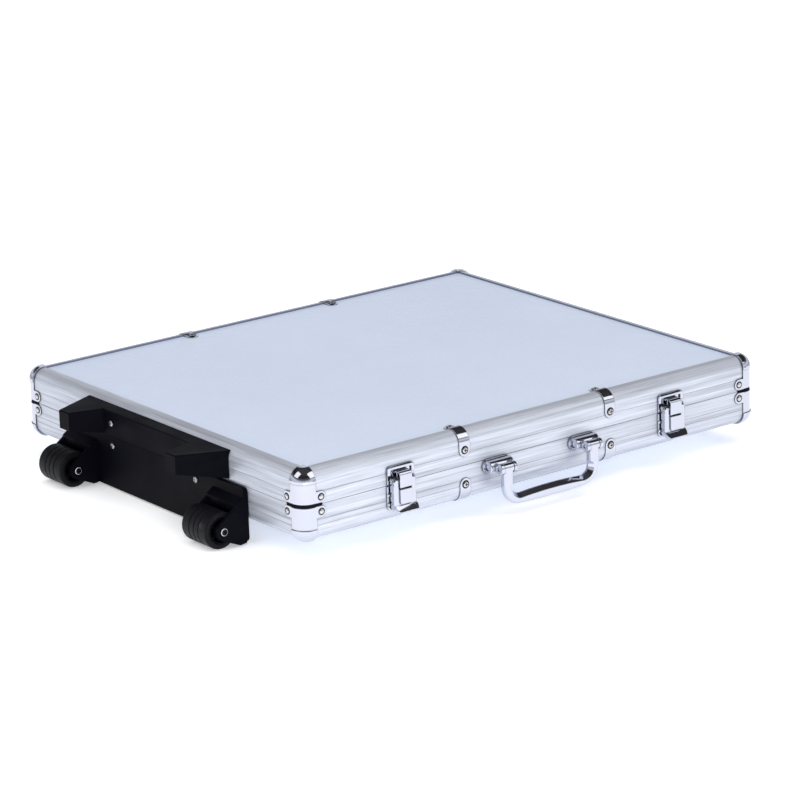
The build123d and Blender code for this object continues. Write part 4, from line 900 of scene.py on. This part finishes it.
@dataclass
class Panels:
    """Ribbed sheets over their boards."""

    rib_pitch_mm: float = 6.4
    rib_width_mm: float = 4.0
    rib_height_mm: float = 0.22
    margin_mm: float = 0.7

    def build(self) -> None:
        """Dresses both panels and lays the ribs on their outer faces."""
        recipe = RibRecipe()
        for half in ("base", "lid"):
            dress(f"{half}_panel_sheet", SHEET)
            dress(f"{half}_panel_board", BOARD)
            self.lay_ribs(recipe, half)

    def lay_ribs(self, recipe: Recipe, half: str) -> None:
        """Lays the ribs over the opening of one half's rails."""
        low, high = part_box(f"{half}_panel_sheet")
        inner_left, inner_right, inner_front, inner_back = opening(half, self.margin_mm * MM)
        pitch = self.rib_pitch_mm * MM
        count = int((inner_back - inner_front) / pitch)
        first = (inner_front + inner_back - (count - 1) * pitch) / 2
        middle = (inner_left + inner_right) / 2
        places = [Vector((middle, first + i * pitch, 0.0)) for i in range(count)]
        carrier = points_mesh(f"{half}_sheet_ribs", places)
        sizes = {
            "Length": inner_right - inner_left,
            "Rib width": self.rib_width_mm * MM,
            "Rib height": self.rib_height_mm * MM,
        }
        piece = recipe.grow(f"{half}_sheet_ribs", carrier, sizes, SHEET)
        if half == "lid":
            piece.data.transform(Matrix.Translation((0, 0, high.z)))
        else:
            piece.data.transform(Matrix.Translation((0, 0, low.z)) @ Matrix.Diagonal((1, 1, -1, 1)))
            piece.data.flip_normals()
        settle(piece, half)


@dataclass
class PaintedShadeStrips:
    """Dark strips of painted shade: one round each corner in the gap between the covers, one along the panels'
    edges.
    """

    reach_mm: float = 23.0
    turn_mm: float = 13.0
    proud_mm: float = 0.5
    sunk_mm: float = 0.02
    half_height_mm: float = 0.8
    play_mm: float = 0.02
    shade_strip_mm: float = 0.12
    below_rail_mm: float = 0.3
    steps: int = 10

    def build(self) -> None:
        """Lays the painted shade strips at the corners and along the panels of both halves."""
        parting = (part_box("base_rail_front")[1].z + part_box("lid_rail_front")[0].z) / 2
        play, tall = self.play_mm * MM, self.half_height_mm * MM
        self.corner_shade_strips("base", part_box("base_corner_covers")[1].z, parting - play)
        self.corner_shade_strips("lid", parting + play, parting + tall)
        lip = self.below_rail_mm * MM
        self.panel_shade_strip("lid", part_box("lid_panel_sheet")[1].z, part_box("lid_rail_front")[1].z - lip)
        self.panel_shade_strip("base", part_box("base_rail_front")[0].z + lip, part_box("base_panel_sheet")[0].z)

    def corner_path(self, out_mm: float) -> list[Vector]:
        """Returns the way round the corner at +X, +Y, as steps from the case's corner point."""
        reach, turn = self.reach_mm, self.turn_mm
        path = [Vector((-reach, out_mm))]
        for step in range(self.steps + 1):
            angle = math.radians(90 * (1 - step / self.steps))
            radius = turn + out_mm
            path.append(Vector((-turn + radius * math.cos(angle), -turn + radius * math.sin(angle))))
        path.append(Vector((out_mm, -reach)))
        return [point * MM for point in path]

    def corner_shade_strips(self, half: str, low: float, high: float) -> None:
        """Lays a strip of painted shade round each of the four corners of one half, between two heights."""
        left, right, front, back = outline(half)
        pairs = list(zip(self.corner_path(self.sunk_mm), self.corner_path(self.proud_mm)))
        skins = []
        for corner_x, way_x in ((left, -1), (right, 1)):
            for corner_y, way_y in ((front, -1), (back, 1)):
                rings = [
                    [
                        (corner_x + way_x * point.x, corner_y + way_y * point.y, height)
                        for point, height in ((near, low), (far, low), (far, high), (near, high))
                    ]
                    for near, far in pairs
                ]
                skins.append(swept(rings))
        hang(f"{half}_corner_shade_strips", skins, GAP_SHADE, half)

    def panel_shade_strip(self, half: str, low: float, high: float) -> None:
        """Lays a strip of painted shade along the inner edge of the rails, over the edge of the panel."""
        outer, inner = opening(half, 0.0), opening(half, self.shade_strip_mm * MM)
        section = ((outer, low), (outer, high), (inner, high), (inner, low))
        corners = ((0, 2), (1, 2), (1, 3), (0, 3))
        rings = [[(edge[x], edge[y], height) for edge, height in section] for x, y in corners]
        hang(f"{half}_panel_shade_strip", [swept(rings, closed=True)], PANEL_EDGE_SHADE, half)


@dataclass
class Guards:
    """Chrome corner covers and edge bands."""

    edge_mm: float = 0.4
    flat_mm: float = 1.0
    facet_angle: float = 17.0
    nodes: tuple[str, ...] = ("base_corner_covers", "base_edge_bands", "lid_edge_bands")

    def build(self) -> None:
        """Rounds the pressed edges, which catch the light, and flattens the caps."""
        for node in self.nodes:
            refine(node, CHROME, self.edge_mm)
        refine("lid_corner_covers", CHROME, self.edge_mm, reshape=self.flatten, sharp=self.facet_angle)

    def flatten(self, covers: bmesh.types.BMesh) -> None:
        """Presses the top of each ball cap to a small level face."""
        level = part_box("lid_corner_covers")[1].z - self.flat_mm * MM
        whole = [*covers.verts, *covers.edges, *covers.faces]
        bmesh.ops.bisect_plane(covers, geom=whole, plane_co=(0, 0, level), plane_no=(0, 0, 1))
        for vert in covers.verts:
            vert.co.z = min(vert.co.z, level)


@dataclass
class DrawLatches:
    """Two latches with their plates, catches, levers and claws."""

    edge_mm: float = 0.25
    lip_top_mm: float = 17.9
    lever_out_mm: float = 8.4
    lip_stretch: float = 1.6
    rim_edge_mm: float = 52.3
    rim_lift_mm: float = 0.9
    rim_reach_mm: float = 0.15
    pin_edge_mm: float = 0.2

    def build(self) -> None:
        """Rounds the pressed edges of every latch piece."""
        refine("latch_bases", CHROME, self.edge_mm)
        refine("latch_catches", CHROME, self.edge_mm, reshape=self.lift_rim)
        for side in ("left", "right"):
            refine(f"latch_lever_{side}", CHROME, self.edge_mm, reshape=self.flare_lip)
            refine(f"latch_claw_{side}", CHROME, self.edge_mm)
        for node in ("latch_pivot_rivets", "claw_pin_left", "claw_pin_right"):
            refine(node, NICKEL, self.pin_edge_mm)

    def lift_rim(self, catches: bmesh.types.BMesh) -> None:
        """Leans the slope at the top of each catch's rim further back."""
        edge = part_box("base_rail_front")[0].z + self.rim_edge_mm * MM
        for vert in catches.verts:
            if abs(vert.co.z - edge) < self.rim_reach_mm * MM:
                vert.co.z += self.rim_lift_mm * MM

    def flare_lip(self, lever: bmesh.types.BMesh) -> None:
        """Leans a lever's finger lip further out, so that its upper face looks up."""
        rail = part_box("base_rail_front")[0]
        face = rail.y - self.lever_out_mm * MM
        for vert in lever.verts:
            if vert.co.z < rail.z + self.lip_top_mm * MM and vert.co.y < face:
                vert.co.y = face + (vert.co.y - face) * self.lip_stretch


@dataclass
class CarryHandle:
    """Cast handle and its two brackets."""

    edge_mm: float = 0.4
    arm_mm: float = 11.0
    eye_mm: float = 5.05
    depth_mm: float = 9.5
    grip_top_mm: float = 9.8
    grip_bow_mm: float = 2.2
    corner_mm: float = 9.0
    corner_steps: int = 20
    slope_high_mm: float = 4.0
    slope_deep_mm: float = 5.2
    slope_past: float = 1.31
    slope_in_mm: float = 1.25
    clear_mm: float = 2.5
    stand_off_mm: float = 4.0
    run_out_mm: float = 9.0
    grip_steps: int = 6

    def build(self) -> None:
        """Rounds the castings and slopes the grip's upper edge."""
        refine("carry_handle", CHROME, self.edge_mm, segments=3, cutter=self.slope_cutter())
        refine("handle_brackets", CHROME, self.edge_mm)
        dress("handle_pins", NICKEL)

    def grip_height(self, x: float, inner: float) -> float:
        """Returns the height of the grip's bowed upper edge at x, between arms at -inner and inner."""
        return self.grip_top_mm + self.grip_bow_mm * (1 - (x / inner) ** 2)

    def opening_edge(self) -> list[tuple[float, float, float, float, float]]:
        """Returns the handle's inner edge from the left arm to the right one, in millimetres.

        Each step is x and z from the bottom middle of the handle, the way into the metal, and how far the
        cut still stands off from its full depth.
        """
        low, high = (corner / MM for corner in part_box("carry_handle"))
        inner = (high.x - low.x) / 2 - self.arm_mm
        top = high.z - low.z - self.eye_mm
        corner = self.corner_mm
        floor = self.grip_height(inner - corner, inner)
        start = top - self.eye_mm - self.stand_off_mm
        half = [
            (-inner, start, -1.0, 0.0, self.stand_off_mm),
            (-inner, start - self.run_out_mm, -1.0, 0.0, 0.0),
        ]
        for step in range(self.corner_steps + 1):
            angle = math.radians(90 * step / self.corner_steps)
            x, z = -inner + corner * (1 - math.cos(angle)), floor + corner * (1 - math.sin(angle))
            half.append((x, z, -math.cos(angle), -math.sin(angle), 0.0))
        for step in range(1, self.grip_steps + 1):
            x = (-inner + corner) * (1 - step / self.grip_steps)
            half.append((x, self.grip_height(x, inner), 0.0, -1.0, 0.0))
        return half + [(-x, z, -nx, nz, off) for x, z, nx, nz, off in reversed(half[:-1])]

    def slope_cutter(self) -> bpy.types.Object:
        """Makes the closed wedge that follows the handle's inner front edge."""
        low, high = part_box("carry_handle")
        middle = (low + high) / 2
        deep, tall, past = self.slope_deep_mm, self.slope_high_mm, self.slope_past
        front = -self.depth_mm / 2
        section = (
            (-self.slope_in_mm, front + past * deep),
            (past * tall, front - (past - 1) * deep),
            (-self.clear_mm, front - self.clear_mm),
        )
        rings = []
        for x, z, nx, nz, off in self.opening_edge():
            ring = []
            for into, y in section:
                reach = into - off
                across, up = (x + nx * reach) * MM, (z + nz * reach) * MM
                ring.append((middle.x + across, middle.y + (y - off) * MM, low.z + up))
            rings.append(ring)
        cutter = put("slope_cutter", skin_mesh("slope_cutter", [swept(rings)]))
        cutter.hide_render = True
        return cutter


@dataclass
class WheelEnd:
    """Black bracket, bumper, wheels and axles."""

    edge_mm: float = 0.6
    wheel_edge_mm: float = 0.3
    ring_radius_mm: float = 3.1
    ring_rim_mm: float = 0.5
    ring_around: int = 32
    ring_across: int = 8

    def build(self) -> None:
        """Rounds the mouldings and dresses the wheels."""
        refine("wheel_bracket", NYLON, self.edge_mm)
        refine("bumper", NYLON, self.edge_mm)
        for side in ("front", "back"):
            refine(f"wheel_hub_{side}", HUB, self.wheel_edge_mm)
            refine(f"wheel_tyre_{side}", TYRE, self.wheel_edge_mm)
        dress("wheel_axles", OXIDE)
        self.ring_axles()

    def ring_axles(self) -> None:
        """Sets a bright turned ring on the ends of both axles."""
        low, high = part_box("wheel_axles")
        middle = (low + high) / 2
        copy = merged_mesh("wheel_axles")
        spans = [[v.co.y for v in copy.verts if (v.co.y > middle.y) == back] for back in (False, True)]
        copy.free()
        skins = []
        for ends in spans:
            for face, way in ((min(ends), 1), (max(ends), -1)):
                skins.append(self.turn_ring(Vector((middle.x, face, middle.z)), way))
        hang("axle_rings", skins, TURNED, BODY_OF["wheel_axles"])

    def turn_ring(self, centre: Vector, way: int) -> tuple[list, list]:
        """Turns one round ring whose outer face lies in the axle's end face.

        Args:
            centre: Middle of the axle's end face.
            way: Sign of the way into the axle.

        Returns:
            The ring's points and faces.
        """
        rim = self.ring_rim_mm * MM
        rings = []
        for i in range(self.ring_around):
            angle = 2 * math.pi * i / self.ring_around
            ring = []
            for j in range(self.ring_across):
                lean = 2 * math.pi * j / self.ring_across
                radius = self.ring_radius_mm * MM + rim * math.cos(lean)
                y = centre.y + way * rim * (1 + math.sin(lean))
                ring.append((centre.x + radius * math.cos(angle), y, centre.z + radius * math.sin(angle)))
            rings.append(ring)
        return swept(rings, closed=True)


@dataclass
class PullHandle:
    """Telescopic handle under the case."""

    metal_edge_mm: float = 0.3
    block_edge_mm: float = 0.6
    grip_edge_mm: float = 0.5
    button_edge_mm: float = 0.4

    def build(self) -> None:
        """Dresses the tubes and rounds the mouldings."""
        for node in ("outer_tubes", "middle_tubes", "inner_tubes"):
            dress(node, TUBE)
        dress("middle_tube_plugs", NYLON)
        dress("push_rods", ZINC)
        refine("tube_clips", ZINC, self.metal_edge_mm)
        refine("guide_block", NYLON, self.block_edge_mm)
        refine("trolley_grip", NYLON, self.grip_edge_mm)
        refine("release_button", BUTTON, self.button_edge_mm)
        dress("rubber_feet", FOOT)


@dataclass
class Interior:
    """Trays in the base and foam in the lid."""

    tray_edge_mm: float = 0.8
    peak_pitch_mm: float = 30.0
    peak_height_mm: float = 6.0

    def build(self) -> None:
        """Flocks the trays and waves the foam."""
        for node in ("chip_tray_left", "chip_tray_right", "accessory_tray"):
            refine(node, FLOCK, self.tray_edge_mm)
        self.line_lid()

    def line_lid(self) -> None:
        """Stands waved foam in the lid."""
        low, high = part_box("lid_foam")
        size = high - low
        sizes = {
            "Length": size.x, "Width": size.y, "Peak pitch": self.peak_pitch_mm * MM,
            "Peak height": self.peak_height_mm * MM, "Height": size.z,
        }
        carrier = points_mesh("lid_foam_liner", [(0, 0, 0)])
        piece = EggCrateRecipe().grow("lid_foam_liner", carrier, sizes, FOAM)
        middle = (low + high) / 2
        piece.data.transform(Matrix.Translation((middle.x, middle.y, low.z)))
        settle(piece, "lid", ["lid_foam"])


@dataclass
class Hinges:
    """Leaves and pins at the back."""

    edge_mm: float = 0.2

    def build(self) -> None:
        """Rounds the leaves' edges."""
        for node in ("hinge_base_leaves", "hinge_lid_leaves"):
            refine(node, ZINC, self.edge_mm)
        dress("hinge_pins", NICKEL)


@dataclass(frozen=True)
class Softbox:
    """A square light that faces the case."""

    name: str
    place: tuple[float, float, float]
    size: float
    power: float
    mirrored: bool = True

    def hang(self) -> None:
        """Hangs the light; one that isn't mirrored leaves no spot in the chrome."""
        light = bpy.data.lights.new(self.name, "AREA")
        light.shape = "SQUARE"
        light.size = self.size
        light.energy = self.power
        lamp = put(self.name, light)
        lamp.location = self.place
        lamp.rotation_euler = (-Vector(self.place)).to_track_quat("-Z", "Y").to_euler()
        lamp.visible_glossy = self.mirrored


@dataclass
class Studio:
    """Pale floor, soft light and the photographed viewpoint."""

    softboxes: tuple[Softbox, ...] = (
        Softbox("softbox_left", (-2.54, 0.60, 2.76), 2.3, 24.0),
        Softbox("softbox_right", (1.39, -2.39, 2.60), 2.3, 26.0),
        Softbox("softbox_near", (-0.85, -1.3, 0.35), 0.5, 10.5, mirrored=False),
    )
    sky: tuple[tuple[float, str], ...] = (
        (0.0, "#a9abb1"),
        (0.20, "#e2e5ec"),
        (0.30, "#f4f6fb"),
        (0.42, "#6a6663"),
        (0.60, "#2c2a29"),
        (0.95, "#4c4b4b"),
    )
    diffuser_power: float = 2.2
    diffuser_angle: float = 80.0
    floor_half: float = 30.0

    focus_px: float = 3746.107
    frame_px: float = 800.0
    camera_mm: tuple[float, float, float] = (-2153.844, -2901.449, 1127.194)
    right: tuple[float, float, float] = (0.794810, -0.606011, -0.032059)
    down: tuple[float, float, float] = (-0.200898, -0.212902, -0.956197)
    onward: tuple[float, float, float] = (0.572640, 0.766436, -0.290963)

    def build(self) -> None:
        """Sets the floor, the lights and the camera."""
        self.lay_floor()
        self.light()
        self.aim()
        view = bpy.context.scene.view_settings
        view.view_transform = "Standard"
        view.look = "None"

    def case_origin(self) -> Vector:
        """Returns the middle of the case's underside, from which the camera's place was measured."""
        left, right, front, back = outline("base")
        return Vector(((left + right) / 2, (front + back) / 2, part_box("base_rail_front")[0].z))

    def lay_floor(self) -> None:
        """Lays a wide matt floor under the case."""
        half = self.floor_half
        mesh = bpy.data.meshes.new("floor")
        corners = [(-half, -half, 0), (half, -half, 0), (half, half, 0), (-half, half, 0)]
        mesh.from_pydata(corners, [], [(0, 1, 2, 3)])
        floor = put("floor", mesh)
        floor.data.materials.append(PAPER.material())

    def light(self) -> None:
        """Lights the case from a pale room, dark above, with the softboxes and a wide diffuser."""
        world = bpy.data.worlds.new("pale_room")
        bpy.context.scene.world = world
        world.use_nodes = True
        tree = world.node_tree
        tree.nodes.clear()
        sky = Graph(tree)
        sight = sky.node("ShaderNodeTexCoord").outputs["Generated"]
        height = sky.node("ShaderNodeSeparateXYZ", {0: sight}).outputs[2]
        ramp = sky.node("ShaderNodeValToRGB", {"Fac": height})
        while len(ramp.color_ramp.elements) < len(self.sky):
            ramp.color_ramp.elements.new(0.5)
        for element, (place, code) in zip(ramp.color_ramp.elements, self.sky):
            element.position = place
            element.color = linear(code)
        back = sky.out("ShaderNodeBackground", {"Color": ramp.outputs[0], "Strength": 1.0})
        sky.node("ShaderNodeOutputWorld", {"Surface": back})
        for softbox in self.softboxes:
            softbox.hang()
        self.overhead()

    def overhead(self) -> None:
        """Hangs one wide round diffuser straight above, which lights the floor evenly."""
        light = bpy.data.lights.new("diffuser", "SUN")
        light.energy = self.diffuser_power
        light.angle = math.radians(self.diffuser_angle)
        put("diffuser", light).visible_glossy = False

    def aim(self) -> None:
        """Puts the camera where the photograph was taken from."""
        lens = bpy.data.cameras.new("photo_camera")
        lens.sensor_width = 36.0
        lens.lens = self.focus_px * lens.sensor_width / self.frame_px
        lens.clip_start = 0.1
        lens.clip_end = 200.0
        camera = put("photo_camera", lens)
        turn = Matrix((self.right, [-c for c in self.down], [-c for c in self.onward])).transposed()
        place = self.case_origin() + Vector(self.camera_mm) * MM
        camera.matrix_world = Matrix.Translation(place) @ turn.to_4x4()
        bpy.context.scene.camera = camera


def main() -> None:
    """Builds each sub-assembly in order."""
    logging.basicConfig(level=logging.INFO, format="%(message)s")
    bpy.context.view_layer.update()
    frames = (RailFrames, Panels, PaintedShadeStrips, Guards)
    fittings = (Fasteners, DrawLatches, CarryHandle, WheelEnd, PullHandle)
    for kind in frames + fittings + (Interior, Hinges, Studio):
        kind().build()
        LOG.info("%s built", kind.__name__)


if __name__ == "__main__":
    main()
